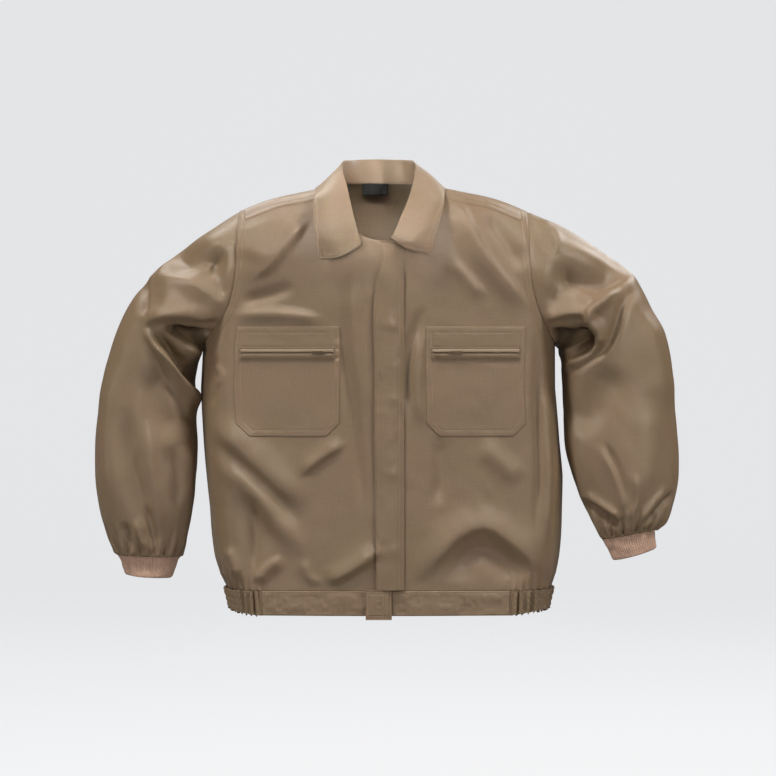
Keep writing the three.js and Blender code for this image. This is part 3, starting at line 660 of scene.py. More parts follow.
def section(row, angles):
    """An oval between its inner and outer edges, as seen down the arm."""
    inner_x, inner_z, outer_x, outer_z, y, depth = row
    cosine, sine = np.cos(angles), np.sin(angles)
    x = (inner_x + outer_x) / 2 + (outer_x - inner_x) / 2 * cosine
    z = (inner_z + outer_z) / 2 + (outer_z - inner_z) / 2 * cosine
    return np.stack([x, y - depth * sine, z], axis=1)


def sleeve_head(angles):
    m = np.abs(1 - angles / math.pi)
    x, z = armhole(m)
    front = on_body(x, z, FRONT)
    rear = on_body(x, z, BACK)
    return np.where((angles <= math.pi)[:, None], front, rear)


def sleeve_tube(side):
    angles = np.linspace(0, 2 * math.pi, AROUND)
    rings = [sleeve_head(angles)] + [section(row, angles) for row in SLEEVES[side]]
    rings = np.array(rings)
    fine = loft(rings, 12 * (len(rings) - 1) + 1)
    step = np.linalg.norm(np.diff(fine, axis=0), axis=2).mean(axis=1)
    length = np.concatenate([[0], np.cumsum(step)])
    want = np.linspace(0, length[-1], ALONG)
    lower = np.clip(np.searchsorted(length, want) - 1, 0, len(length) - 2)
    part = ((want - length[lower]) / (length[lower + 1] - length[lower]))[:, None, None]
    return mix(fine[lower], fine[lower + 1], part), want


print("sleeve length", round(sleeve_tube("left")[1][-1]), "mm")

# %% Sleeve folds
SLEEVE_FRONT = {
    "right": [
        (-18.0, 16, 22, [(-335, -120), (-290, -112), (-255, -116), (-220, -130)]),
        (-8.0, 22, 16, [(-266, -126), (-242, -148), (-226, -184)]),
        (7.0, 10, 22, [(-356, -152), (-318, -146), (-278, -158), (-246, -178), (-224, -198)]),
        (4.0, 18, 18, [(-338, -180), (-300, -184), (-258, -190)]),
        (-7.0, 5, 10, [(-355, -140), (-353, -172), (-351, -208)]),
        (12.0, 16, 5, [(-362, -219), (-330, -207), (-295, -202), (-258, -203), (-228, -207)]),
        (-34.0, 6, 8, [(-326, -220), (-300, -224), (-268, -232), (-234, -234)]),
        (9.0, 8, 12, [(-308, -248), (-272, -254), (-238, -246)]),
        (-15.0, 10, 10, [(-348, -226), (-318, -246), (-296, -276), (-280, -312)]),
        (12.0, 6, 8, [(-362, -212), (-340, -236), (-318, -267), (-297, -300), (-278, -335), (-268, -374)]),
        (-5.0, 4, 9, [(-354, -230), (-328, -280), (-300, -330), (-280, -376)]),
        (-6.0, 20, 22, [(-345, -270), (-330, -330), (-300, -390)]),
        (5.0, 16, 20, [(-400, -250), (-404, -330), (-402, -420), (-390, -510)]),
        (-5.5, 10, 14, [(-384, -330), (-376, -400), (-360, -460), (-350, -520)]),
        (5.0, 12, 12, [(-348, -350), (-340, -420), (-328, -480), (-326, -530)]),
        (-5.0, 8, 10, [(-316, -390), (-306, -440), (-306, -500)]),
        (4.0, 8, 10, [(-292, -390), (-290, -440), (-300, -500)]),
        (-5.0, 5, 6, [(-352, -478), (-342, -510), (-338, -548)]),
        (4.0, 5, 5, [(-366, -500), (-360, -525), (-352, -550)]),
        (-4.0, 5, 5, [(-382, -505), (-376, -530), (-368, -552)]),
    ],
    "left": [
        (-22.0, 26, 22, [(236, -150), (275, -148), (310, -150), (345, -146), (378, -136)]),
        (-6.0, 14, 20, [(230, -186), (262, -172), (302, -168)]),
        (12.0, 12, 6, [(388, -136), (346, -158), (321, -180), (301, -200), (306, -216), (313, -233),
                       (304, -251), (282, -271), (262, -292)]),
        (-8.0, 6, 9, [(382, -156), (358, -184), (347, -214), (331, -246), (301, -270), (266, -296)]),
        (8.0, 10, 5, [(224, -216), (258, -201), (290, -199), (308, -214)]),
        (-34.0, 9, 11, [(236, -233), (272, -235), (298, -232), (303, -244), (276, -268)]),
        (5.0, 5, 6, [(247, -244), (259, -234), (257, -256)]),
        (4.0, 8, 8, [(230, -60), (256, -82), (258, -114)]),
        (-3.5, 8, 8, [(247, -62), (246, -92), (251, -116)]),
        (6.0, 26, 24, [(404, -180), (414, -270), (410, -350)]),
        (-7.0, 26, 26, [(352, -274), (315, -330), (276, -380)]),
        (5.0, 18, 20, [(396, -320), (392, -400), (382, -480)]),
        (3.5, 6, 8, [(312, -388), (338, -430), (352, -470), (354, -506)]),
        (-4.0, 5, 6, [(324, -386), (346, -430), (360, -480)]),
        (4.0, 6, 6, [(366, -430), (373, -470), (362, -508)]),
        (-7.0, 5, 7, [(292, -474), (320, -494), (352, -514)]),
        (5.0, 6, 5, [(296, -462), (325, -483), (354, -504)]),
        (-6.0, 5, 5, [(432, -460), (405, -488), (382, -512)]),
        (4.0, 6, 6, [(420, -450), (394, -482), (372, -512)]),
    ],
}
SLEEVE_BACK = {
    "right": [
        (-8.0, 18, 24, [(-262, -150), (-290, -190), (-300, -250)]),
        (8.0, 16, 20, [(-250, -230), (-290, -262), (-340, -280)]),
        (-8.0, 10, 14, [(-262, -270), (-310, -300), (-360, -310)]),
        (7.0, 18, 20, [(-280, -330), (-330, -352), (-385, -350)]),
        (-5.0, 14, 18, [(-290, -380), (-340, -400), (-400, -400)]),
        (6.0, 20, 24, [(-400, -260), (-410, -340), (-396, -430)]),
        (5.0, 14, 16, [(-340, -400), (-346, -460), (-350, -520)]),
        (-4.0, 12, 14, [(-370, -420), (-372, -470), (-366, -520)]),
    ],
    "left": [
        (-8.0, 20, 22, [(262, -150), (286, -200), (296, -250)]),
        (8.0, 18, 18, [(252, -240), (300, -262), (350, -270)]),
        (-8.0, 12, 12, [(270, -280), (320, -296), (372, -300)]),
        (7.0, 20, 18, [(285, -340), (340, -350), (395, -345)]),
        (-5.0, 16, 14, [(290, -390), (345, -402), (405, -395)]),
        (6.0, 24, 20, [(404, -250), (416, -340), (402, -430)]),
        (5.0, 16, 14, [(342, -420), (348, -470), (352, -510)]),
        (-4.0, 14, 12, [(376, -430), (376, -480), (370, -515)]),
    ],
}


def make_sleeve(side):
    sign = 1 if side == "left" else -1
    points, along = sleeve_tube(side)
    points = points * np.array([sign, 1, 1])
    normals = grid_normals(points, wrap=True) * sign
    x, z = points[..., 0], points[..., 2]
    facing = normals[..., 1]
    front = smooth((0.2 - facing) / 0.5)
    rear = smooth((facing - 0.2) / 0.4)
    drawn = front * folds(x, z, SLEEVE_FRONT[side]) + rear * folds(x, z, SLEEVE_BACK[side])
    height = SLEEVE_FOLD_DEPTH * drawn
    turn = np.linspace(0, 2 * math.pi, AROUND)[None, :]
    down = along[:, None] * np.ones_like(turn)
    ring = 90 * np.cos(turn), 90 * np.sin(turn)
    soft = noise(ring[0] + 0.5 * down, ring[1] + 0.5 * down, 52, 31 + sign) + 0.5 * noise(
        ring[0] - 0.6 * down, ring[1] + 0.4 * down, 16, 35 + sign)
    height = height + 0.8 * soft
    from_cuff = along[-1] - down
    pleats = np.sin(turn * 17 + 2.2 * noise(turn * 9, down, 22, 41 + sign)) + 0.6 * np.sin(turn * 29 + 1.0)
    height = height + 2.4 * pleats * smooth(1 - from_cuff / 58) * smooth(from_cuff / 6 + 0.25)
    start = smooth(down / 26)
    seam_dip = -0.9 * np.exp(-((down - 1.5) / 2.0) ** 2)
    finish = smooth(from_cuff / 3 + 0.35)
    points = points + normals * (height * start * finish + seam_dip)[..., None]
    return sheet(f"sleeve_{side}_cloth", points, TWILL, wrap=True, flip=sign < 0,
                 uv=np.stack(np.broadcast_arrays(ring_length(points), down), axis=2))


def ring_length(points):
    step = np.linalg.norm(np.diff(points, axis=1), axis=2).mean(axis=0)
    return np.concatenate([[0], np.cumsum(step)])[None, :]


sleeves = {side: make_sleeve(side) for side in ("left", "right")}

# %% [markdown]
# ## Rib cuffs
# A rib-knit cuff is a short stretched tube. It is drawn in at the middle and flares a little at its
# open end, and its ribs run down the arm. The ribs are real relief here, about seventy round the cuff.

# %% Cuffs
CUFF_RIBS, CUFF_ROWS = 68, 26


def make_cuff(side):
    sign = 1 if side == "left" else -1
    around = CUFF_RIBS * 6 + 1
    angles = np.linspace(0, 2 * math.pi, around)
    rings = loft([section(row, angles) for row in CUFFS[side]], CUFF_ROWS)
    points = rings * np.array([sign, 1, 1])
    normals = grid_normals(points, wrap=True) * sign
    fraction = np.linspace(0, 1, CUFF_ROWS)[:, None]
    ribs = 0.55 * np.cos(angles * CUFF_RIBS)[None, :] * smooth(fraction / 0.1) * smooth((1 - fraction) / 0.06)
    twist = 1.6 * noise(angles[None, :] * 12 + fraction * 9, fraction * 30, 9, 51 + sign)
    top = 1.2 * np.exp(-((fraction - 0.06) / 0.05) ** 2)
    rim = -0.9 * np.exp(-((fraction - 1) / 0.05) ** 2)
    points = points + normals * (ribs + twist * smooth(fraction / 0.2) + top + rim - 1.2)[..., None]
    return sheet(f"cuff_{side}_rib", points, RIB, thick=2.2, wrap=True, flip=sign < 0)


cuffs = {side: make_cuff(side) for side in ("left", "right")}

for side, sign in (("left", 1), ("right", -1)):
    dress(cuffs[side], f"sleeve_{side}", [f"cuff_{side}"])
    dress(sleeves[side], None, [f"sleeve_{side}"])
    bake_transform(sleeves[side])

# %% [markdown]
# ## Chest pockets
# Each pocket is a patch with cut lower corners, folded under all round and sewn on with two rows. A
# zip opens across it: the cloth rises in two soft lips over the teeth and nearly closes. The patch
# follows the folded front, and its grid has a slit where the zip runs.

# %% Pocket patches
POCKET_INNER, POCKET_WIDTH = 63.0, 148.0
POCKET_ABOVE, POCKET_BELOW, POCKET_CHAMFER = 39.0, 122.0, 19.0
SLIT_FROM, SLIT_TO, SLIT_HALF = 9.0, 140.0, 1.0
SLIDER_AT = {"left": 36.0, "right": 24.0}
PATCH_LIFT, LIP_HEIGHT = 1.3, 3.4
EDGE_ROWS, MOUTH_ROWS = (2.2, 9.0), (9.0, -11.5)  # stitching in from the edge, and beside the mouth


def dense_steps(marks, fine, coarse):
    """Steps through the marks, fine beside each mark and coarse between."""
    out = [marks[0]]
    for low, high in zip(marks[:-1], marks[1:]):
        count = max(2, int(round((high - low) / coarse)) + 4)
        t = np.linspace(0, 1, count + 1)[1:]
        eased = mix(t, (1 - np.cos(math.pi * t)) / 2, fine)
        out += list(low + (high - low) * eased)
    return np.array(out)


def pocket_edge_distance(u, v):
    """Distance in from the patch's outline."""
    sides = np.minimum(u, POCKET_WIDTH - u)
    ends = np.minimum(POCKET_ABOVE - v, v + POCKET_BELOW)
    across = sides + (v + POCKET_BELOW)
    return np.minimum(np.minimum(sides, ends), (across - POCKET_CHAMFER) / math.sqrt(2))


def row_groove(distance, at, width=0.9, depth=0.55):
    return -depth * np.exp(-(((distance - at) / width) ** 2))


def pocket_lift(u, v, side):
    """How far the patch stands off the front."""
    inside = pocket_edge_distance(u, v)
    lift = PATCH_LIFT - 0.6 * np.exp(-((inside / 0.8) ** 2))
    lift = lift + row_groove(inside, EDGE_ROWS[0], 0.9, 0.35) + row_groove(inside, EDGE_ROWS[1], 0.9, 0.35)
    lift = lift + 0.3 * smooth(inside / 4) * noise(u, v, 7, 61) * smooth((16 - inside) / 8)
    end = smooth((u - SLIT_FROM + 3) / 6) * smooth((SLIT_TO + 3 - u) / 6)
    pucker = 1 + 0.25 * noise(u, v * 0, 7, 63) + 0.2 * noise(u, v, 4, 64)
    lip = np.where(v > 0, smooth((7.6 - v) / 4.0), smooth((13.0 + v) / 9.5)) * end
    lift = lift + LIP_HEIGHT * lip * (pucker * 0.15 + 0.85)
    mouth_groove = 0.5 * np.exp(-(((v - MOUTH_ROWS[0]) / 1.2) ** 2))
    lift = lift - mouth_groove * end * (1 + 0.6 * noise(u, v * 0, 5, 65))
    start = SLIDER_AT[side]
    knot = np.exp(-(((u - start + 20) / 4.0) ** 2 + ((np.abs(v) - 7) / 3.0) ** 2))
    return lift - 1.2 * knot


def pocket_place(u, v, sign):
    """Where a spot of the pocket lies on the front, across and up."""
    taper = 1 - 0.018 * np.clip(-v / POCKET_BELOW, 0, 1)
    x = POCKET_INNER + POCKET_WIDTH / 2 + (u - POCKET_WIDTH / 2) * taper
    return x * sign, ZIP_Z + v


def on_pocket(u, v, side, lift=0.0):
    sign = 1 if side == "left" else -1
    x, z = pocket_place(u, v, sign)
    return on_body(x, z, FRONT, pocket_lift(u, v, side) + lift)


def make_pocket(side):
    sign = 1 if side == "left" else -1
    c = POCKET_CHAMFER
    low, high = -POCKET_BELOW, POCKET_ABOVE
    marks = [low, low + 10, low + c, -60, -14, -SLIT_HALF, SLIT_HALF, 14, high - 12, high]
    v = dense_steps(marks, 0.3, 1.9)
    u = dense_steps([0, SLIT_FROM, 22, 70, 122, SLIT_TO, POCKET_WIDTH], 0.3, 1.7)
    grid_u, grid_v = np.meshgrid(u, v)
    cut = np.clip(c - POCKET_BELOW - grid_v, 0, c)
    grid_u = cut + (grid_u / POCKET_WIDTH) * (POCKET_WIDTH - 2 * cut)
    middle_u, middle_v = (u[:-1] + u[1:]) / 2, (v[:-1] + v[1:]) / 2
    hole = (np.abs(middle_v) < SLIT_HALF)[:, None] & ((middle_u > SLIT_FROM) & (middle_u < SLIT_TO))[None, :]
    points = on_pocket(grid_u, grid_v, side)
    return sheet(f"pocket_patch_{side}_cloth", points, TWILL, thick=0.8, hole=hole, flip=sign < 0,
                 uv=np.stack([grid_u, grid_v], axis=2))


def make_tape(side, half):
    """One half of the zip's tape, from the row of teeth to under the patch."""
    sign = 1 if side == "left" else -1
    low, high = (1.3, 8.6) if half == "upper" else (-8.6, -1.3)
    u, v = np.meshgrid(np.linspace(SLIT_FROM - 1, SLIT_TO + 1, 120), np.linspace(low, high, 8))
    x, z = pocket_place(u, v, sign)
    points = on_body(x, z, FRONT, 2.3 + 0 * v)
    return sheet(f"zip_tape_{half}_{side}_cloth", points, TAPE, thick=0.5, flip=sign < 0,
                 uv=np.stack([u, v], axis=2))


for side in ("left", "right"):
    for half in ("upper", "lower"):
        dress(make_tape(side, half), "torso", [f"zip_tape_{half}_{side}"])
    patch = make_pocket(side)
    dress(patch, "torso", [f"pocket_patch_{side}"])

# %% [markdown]
# ## Front closing
# A strip called the fly covers the snaps. It is sewn to the left front and lies over the right one,
# so it bulges a little over each closed snap and waves along its free edge. Under it, the stand
# carries the studs. Both follow the cloth of the front.

# %% Fly and snap stand
FLY_EDGE_X, FLY_TOP, STAND_FROM_X = -10.0, -97.0, 2.0
SNAP_X, SNAP_FIRST, SNAP_PITCH, SNAPS = 15.0, -110.0, 108.5, 5
FLY_BOTTOM = BAND_TOP + 1
FLY_BULGE, FLY_ROW = 5.1, 7.0  # how far it stands off its snaps, and its stitching from the seam
snap_heights = [SNAP_FIRST - k * SNAP_PITCH for k in range(SNAPS)]


def fly_lift(x, z):
    """Low at the seam, round over the snaps, and nearly down on the cloth at the free edge."""
    across = np.clip((STITCH_X - x) / (STITCH_X - FLY_EDGE_X), 0, 1)
    lift = 2.0 + FLY_BULGE * np.sin(math.pi * across) ** 0.8 + 1.4 * across
    for height in snap_heights:
        lift = lift + 1.3 * np.exp(-(((x - SNAP_X) / 9) ** 2 + ((z - height) / 8) ** 2))
    lift = lift + 1.4 * across * noise(z * 0 + 3, z, 52, 71) + 0.4 * noise(x, z, 12, 73)
    lift = lift - 0.5 * np.exp(-(((x - STITCH_X + FLY_ROW) / 0.9) ** 2))
    top = smooth((z - FLY_TOP + 60) / 60)
    return lift + 5.0 * top * across**2


FLY_EDGE = np.array([  # how far down the fly, where its free edge lies
    [0, -3.5], [0.05, -2.5], [0.11, -11], [0.2, -14], [0.34, -12.5], [0.6, -12], [0.8, -10.5], [1, -9],
])


def fly_edge(z):
    """The free edge isn't straight: it wanders a few millimetres."""
    t = (FLY_TOP - z) / (FLY_TOP - FLY_BOTTOM)
    return np.interp(t, FLY_EDGE[:, 0], FLY_EDGE[:, 1])


z = np.linspace(FLY_BOTTOM, FLY_TOP, 300)[:, None]
t = np.linspace(0, 1, 44)[None, :]
x = mix(fly_edge(z), STITCH_X, t)
fly_points = on_body(x, z * np.ones_like(t), FRONT, fly_lift(x, z))
fly = sheet("fly_strip_cloth", fly_points, TWILL, thick=1.0, uv=np.stack([x, z * np.ones_like(t)], axis=2))
dress(fly, "fly", ["fly_strip"])

x, z = np.meshgrid(np.linspace(STAND_FROM_X, UNDERLAP_X - 0.5, 14), np.linspace(FLY_BOTTOM, FLY_TOP, 220))
stand = sheet("snap_stand_cloth", on_body(x, z, FRONT, 1.5), TWILL, thick=1.0, uv=np.stack([x, z], axis=2))
dress(stand, "torso", ["snap_stand"])

# %% [markdown]
# ## Waistband
# The band is two layers of twill sewn round the hem. Front and back it lies flat with a row of
# stitching at each edge. At the sides it is gathered over elastic, so it stands in narrow upright
# ridges, pinched where rows of stitching hold the elastic. A tab closes it over the fly.

# %% Waistband pieces
ELASTIC_FROM = 183.0
RIDGES, FINE_RIDGES = 66, 103  # turns of the two waves along half a side
ROW_INSET = 3.0  # rows of stitching from the edges of the band and tab
HEM_RISE, SIDE_RISE = 4.0, 4.0


def hem_rise(x, z):
    """The hem hangs a little short, and shorter still at the elastic sides."""
    rise = HEM_RISE + SIDE_RISE * smooth((np.abs(x) - 180) / 50)
    return rise * (BAND_TOP - z) / BAND_HEIGHT


def band_lift(z, along):
    top, bottom = BAND_TOP - z, z - HEM
    lift = 1.3 - 0.9 * np.exp(-((np.minimum(top, bottom) / 1.0) ** 2))
    lift = lift + row_groove(top, ROW_INSET, 1.0, 0.6) + row_groove(bottom, ROW_INSET, 1.0, 0.6)
    middle = smooth(np.minimum(top, bottom) / 9)
    return lift + 0.9 * middle * noise(along, z, 15, 81) + 0.4 * noise(along, z, 6, 82)


def make_band(name, from_x, to_x, face, columns):
    x, z = np.meshgrid(np.linspace(from_x, to_x, columns), np.linspace(HEM, BAND_TOP, 34))
    z = z + hem_rise(x, z)
    points = torso_point(x, z, face) + torso_normal(x, z, face) * band_lift(z, x)[..., None]
    return sheet(name, points, TWILL, thick=1.8, uv=np.stack([x, z], axis=2), flip=face == BACK)


def elastic_path(z, t, sign):
    """Round the side at one height: t runs from -1 at the front to 1 at the back."""
    x = sign * mix(ELASTIC_FROM, half_width(z), np.cos(np.abs(t) * math.pi / 2))
    front, rear = torso_point(x, z, FRONT), torso_point(x, z, BACK)
    return np.where((t < 0)[..., None], front, rear)


def make_elastic(side, lift, thick, name, material, relief):
    sign = 1 if side == "left" else -1
    t, z = np.meshgrid(np.linspace(-1, 1, 461), np.linspace(HEM, BAND_TOP, 40))
    level = elastic_path(z, t, sign)
    base = elastic_path(z + hem_rise(level[..., 0], z), t, sign)
    normals = grid_normals(base) * sign
    down = (BAND_TOP - z) / BAND_HEIGHT
    pinch = 1 - 0.25 * sum(np.exp(-(((down - at) / 0.05) ** 2)) for at in (0.08, 0.36, 0.64, 0.9))
    wander = 1.3 * noise(t * 12, down * 1.2, 2.4, 91 + sign) + 0.3 * noise(t * 20, down * 3, 2.4, 95 + sign)
    ridges = np.sin(t * RIDGES + wander) + 0.3 * np.sin(t * FINE_RIDGES + 2 * wander)
    ends = smooth((1 - np.abs(t)) / 0.06)
    height = lift + relief * ends * (0.35 + ridges * pinch)
    ruffle = relief * 0.6 * np.sin(t * RIDGES + wander + 0.8) * np.exp(-(((down - 1) / 0.06) ** 2)) * ends
    points = base + normals * height[..., None]
    points[..., 2] += ruffle
    return sheet(name, points, material, thick=thick, flip=sign < 0)


TAB_TO_X, TAB_FROM_X, TAB_MARGIN, TAB_LIFT = 13.0, -25.0, 1.0, 6.6
bands = [
    ("waistband_front_left", TAB_TO_X, ELASTIC_FROM, FRONT, 120, 172),
    ("waistband_front_right", -ELASTIC_FROM, TAB_TO_X - 0.6, FRONT, 130, 198),
    ("waistband_back", -ELASTIC_FROM, ELASTIC_FROM, BACK, 230, 372),
]
for node, from_x, to_x, face, columns, width in bands:
    piece = make_band(f"{node}_cloth", from_x, to_x, face, columns)
    dress(piece, "torso", [node])
for side in ("left", "right"):
    casing = make_elastic(side, 1.8, 0.7, f"elastic_casing_{side}_cloth", TWILL, 3.0)
    dress(casing, "torso", [f"elastic_casing_{side}"])
    web = make_elastic(side, -1.9, 1.2, f"elastic_webbing_{side}_band", WEBBING, 0.25)
    dress(web, "torso", [f"elastic_webbing_{side}"])


# %% Waistband tab
def tab_lift(x, z):
    """A flat double layer over its snap, with a row of stitching just inside its edges."""
    inside_x = np.minimum(x - TAB_FROM_X, TAB_TO_X - x)
    inside_z = np.minimum(BAND_TOP - TAB_MARGIN - z, z - HEM - TAB_MARGIN)
    inside = np.minimum(inside_x, inside_z)
    lift = TAB_LIFT - 0.9 * np.exp(-((inside / 1.0) ** 2)) + row_groove(inside, ROW_INSET)
    lift = lift - 0.5 * np.exp(-(((x - 1) / 0.9) ** 2))
    lift = lift - 3.0 * smooth((x - 6) / 9) + 0.3 * noise(x, z, 8, 101)
    ring = np.hypot(x + 6, z - HEM - BAND_HEIGHT / 2)
    return lift + 0.25 * np.exp(-(((ring - 5.5) / 1.6) ** 2)) - 0.3 * np.exp(-((ring / 3) ** 2))


tab_z = np.linspace(HEM + TAB_MARGIN - 2.5, BAND_TOP - TAB_MARGIN + 2, 64)
x, z = np.meshgrid(np.linspace(TAB_FROM_X, TAB_TO_X, 60), tab_z)
tab_points = torso_point(x, z, FRONT) + torso_normal(x, z, FRONT) * tab_lift(x, z)[..., None]
tab = sheet("waistband_tab_cloth", tab_points, TWILL, thick=1.8, uv=np.stack([x, z], axis=2))
dress(tab, "tab", ["waistband_tab"])

# %% [markdown]
# ## Collar
# A shirt collar is a stand that rises from the neck seam and a leaf that rolls over it and falls to
# a free edge with two points. Each is lofted between curves that run from the right front, round
# the back of the neck, to the left front. The two sides differ a little, as they do when worn.

# %% Collar curves
ROLL_RIGHT = [(-33, -101, -101), (-36, -101, -84), (-44, -92, -52), (-52, -68, -16), (-60, -26, 26),
              (-42, 34, 37)]
ROLL_LEFT = [(11, -103, -90), (17, -102, -82), (27, -93, -57), (38, -76, -30), (47, -46, 8), (46, -14, 29),
             (32, 32, 37)]
roll_stations = ROLL_RIGHT + [(-6, 52, 40)] + ROLL_LEFT[::-1]
MIDDLE_RIGHT = [(-62, -108, -117), (-68, -110, -92), (-76, -98, -56), (-82, -66, -18), (-74, -16, 13),
                (-48, 54, 20)]
MIDDLE_LEFT = [(38, -110, -107), (46, -112, -90), (60, -103, -64), (74, -78, -32), (76, -42, -2),
               (65, -8, 14), (40, 52, 20)]
middle_stations = MIDDLE_RIGHT + [(-6, 66, 25)] + MIDDLE_LEFT[::-1]
FALL_RIGHT = [(-92, -106, -121), (-97, -104, -88), (-102, -90, -50), (-101, -60, -22), (-97, -8, -9),
              (-64, 66, -8)]
FALL_LEFT = [(70, -107, -115), (76, -106, -88), (85, -94, -58), (90, -72, -34), (91, -40, -16), (88, -4, -8),
             (56, 66, -8)]
fall_stations = FALL_RIGHT + [(-6, 78, -6)] + FALL_LEFT[::-1]


LEAF_WIDTH, LEAF_LENGTH, LEAF_ROWS = 60, 520, 61
LEAF_STITCH = 6.5  # its row of stitching in from the edge
rows = [loft(s, 24 * (len(s) - 1) + 1) for s in (roll_stations, middle_stations, fall_stations)]
count = rows[0].shape[0]
leaf_rows = loft(rows, LEAF_ROWS)
fraction = np.linspace(0, 1, LEAF_ROWS)[:, None]
ends = np.minimum(np.linspace(0, 1, count), np.linspace(1, 0, count))[None, :]
leaf_normals = -grid_normals(leaf_rows)
border = np.minimum((1 - fraction) * LEAF_WIDTH, ends * LEAF_LENGTH)
leaf_height = row_groove(border, LEAF_STITCH, 1.3, 0.5) - 0.7 * np.exp(-((border / 1.2) ** 2))
around_neck = np.linspace(0, LEAF_LENGTH, count)[None, :]
leaf_height = leaf_height + 0.7 * noise(around_neck, fraction * LEAF_WIDTH, 24, 111)
leaf_points = leaf_rows + leaf_normals * leaf_height[..., None]
leaf = sheet("collar_leaf_cloth", leaf_points, TWILL, thick=1.7, flip=True)

# %% Collar stand
def neck_seam(count):
    """The neck seam under the roll, from the right front round the back to the left front."""
    turn = np.linspace(-math.pi + 0.42, math.pi - 0.16, count)
    angle = np.pi - np.abs(turn)
    front_x, front_z = neck_line(np.minimum(angle, math.pi / 2), FRONT_NECK)
    back_x, back_z = neck_line(np.minimum(np.pi - angle, math.pi / 2), BACK_NECK)
    front = angle < math.pi / 2
    x = np.where(front, front_x, back_x) * np.sign(turn + 1e-9)
    z = np.where(front, front_z, back_z)
    return np.where(front[:, None], torso_point(x, z, FRONT), torso_point(x, z, BACK))


seam = neck_seam(count)
stand_rows = loft([seam, mix(seam, rows[0], 0.5) + np.array([0, 0, 1.5]), rows[0]], 26)
collar_stand = sheet("collar_stand_cloth", stand_rows, TWILL, thick=1.4)
dress(collar_stand, "torso", ["collar_stand"])
dress(leaf, "torso", ["collar_leaf"])

# %% [markdown]
# ## Felled seams
# The armhole and shoulder seams are felled: the seam allowance is folded to one side and sewn down
# with two rows, so each seam shows as a low band. A band is a narrow sheet along a line of the body,
# pressed in where its two rows of stitching run.

# %% Seam bands
SEAM_WIDTH, SEAM_ROW = 10.0, 2.0  # width of a band, and how far in its rows of stitching run
ARMHOLE_GAP = 1.0  # between the armhole and its band


def seam_lift(across):
    """Height over a band: thin edges, and a groove along each row of stitching."""
    inside = np.minimum(across, SEAM_WIDTH - across)
    lift = 0.6 * smooth(inside / 0.9) - 0.1
    return lift - 0.35 * np.exp(-(((inside - SEAM_ROW) / 0.6) ** 2))


def side_step(line):
    """The direction across a line, to its left."""
    along = np.gradient(line, axis=0)
    along /= np.linalg.norm(along, axis=1, keepdims=True)
    return np.column_stack([-along[:, 1], along[:, 0]])


def seam_band(name, line, face, start):
    across = np.linspace(0, SEAM_WIDTH, 15)[None, :]
    step = side_step(line)
    x = line[:, :1] + step[:, :1] * (across + start)
    z = line[:, 1:] + step[:, 1:] * (across + start)
    lift = seam_lift(across) + 0.12 * noise(x, z, 5, 121)
    points = on_body(x, z, face, lift)
    flat = on_body(x, z, face)
    turned = grid_normals(points)[..., 1].mean() * face < 0
    band = sheet(name, points, TWILL, thick=0.6, flip=bool(turned))
    return dress(band, "torso", [])


SHOULDER_SEAM = [(93, -22), (125, -30), (162, -38), (206, -56)]
seam_lines = {}
for side, sign in (("left", 1), ("right", -1)):
    m = np.linspace(0.1, 0.99, 130)
    hole_x, hole_z = armhole(m)
    line = even_steps(np.column_stack([hole_x * sign, hole_z]), 150)
    start = ARMHOLE_GAP if sign > 0 else -ARMHOLE_GAP - SEAM_WIDTH
    for face, word in ((FRONT, "front"), (BACK, "back")):
        seam_band(f"armhole_seam_{word}_{side}", line, face, start)
        seam_lines[f"armhole_{word}_{side}"] = (line, start, face)
    shoulder = curve_through([(sign * x, z) for x, z in SHOULDER_SEAM], 90)
    seam_band(f"shoulder_seam_{side}", shoulder, FRONT, -SEAM_WIDTH / 2)
    seam_lines[f"shoulder_{side}"] = (shoulder, -SEAM_WIDTH / 2, FRONT)
print("seams", len(seam_lines))

# %% [markdown]
# ## Topstitching
# Thread shows along every seam as a row of short stitches, each about three millimetres long, that
# sink at their ends. One stitch is modelled as a small rounded bar and copied along the rows.

# %% One stitch
STITCH_RADIUS, STITCH_LENGTH, STITCH_PITCH, STITCH_ROUND = 0.26, 2.3, 3.1, 0.16
bpy.ops.object.select_all(action="DESELECT")
bpy.ops.mesh.primitive_cylinder_add(vertices=6, radius=STITCH_RADIUS * MM, depth=STITCH_LENGTH * MM,
                                    location=(0, 0, 0), rotation=(0, math.radians(90), 0))
stitch = bpy.context.object
bpy.ops.object.transform_apply(location=False, rotation=True, scale=False)
bpy.ops.object.modifier_add(type="BEVEL")
stitch.modifiers["Bevel"].width = STITCH_ROUND * MM
stitch.modifiers["Bevel"].segments = 1
bpy.ops.object.modifier_apply(modifier="Bevel")
stitch_verts = np.array([v.co for v in stitch.data.vertices]) / MM
stitch_faces = [list(p.vertices) for p in stitch.data.polygons]
bpy.data.objects.remove(stitch)
print("one stitch has", len(stitch_faces), "faces")


# %% Rows of stitches
def stitch_row(points, normals):
    """The corners of every stitch along a row of points on the cloth."""
    length = np.linalg.norm(np.diff(points, axis=0), axis=1).sum()
    count = max(2, int(length / STITCH_PITCH))
    both = even_steps(np.hstack([points, normals]), 2 * count + 1)[1::2]
    place, up = both[:, :3], both[:, 3:]
    along = np.gradient(place, axis=0)
    along /= np.linalg.norm(along, axis=1, keepdims=True)
    side = np.cross(up, along)
    side /= np.linalg.norm(side, axis=1, keepdims=True)
    up = np.cross(along, side)
    frame_of = np.stack([along, side, up], axis=1)
    return (place + up * STITCH_ROUND)[:, None, :] + np.einsum("vi,kij->kvj", stitch_verts, frame_of)


def topstitching(name, rows, body):
    corners = np.concatenate([stitch_row(*row) for row in rows])
    count, each = corners.shape[:2]
    faces = [[k * each + i for i in face] for k in range(count) for face in stitch_faces]
    obj = new_object(name, corners.reshape(-1, 3), faces, None, THREAD)
    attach(obj, body)
    print(name, count, "stitches")
    return obj


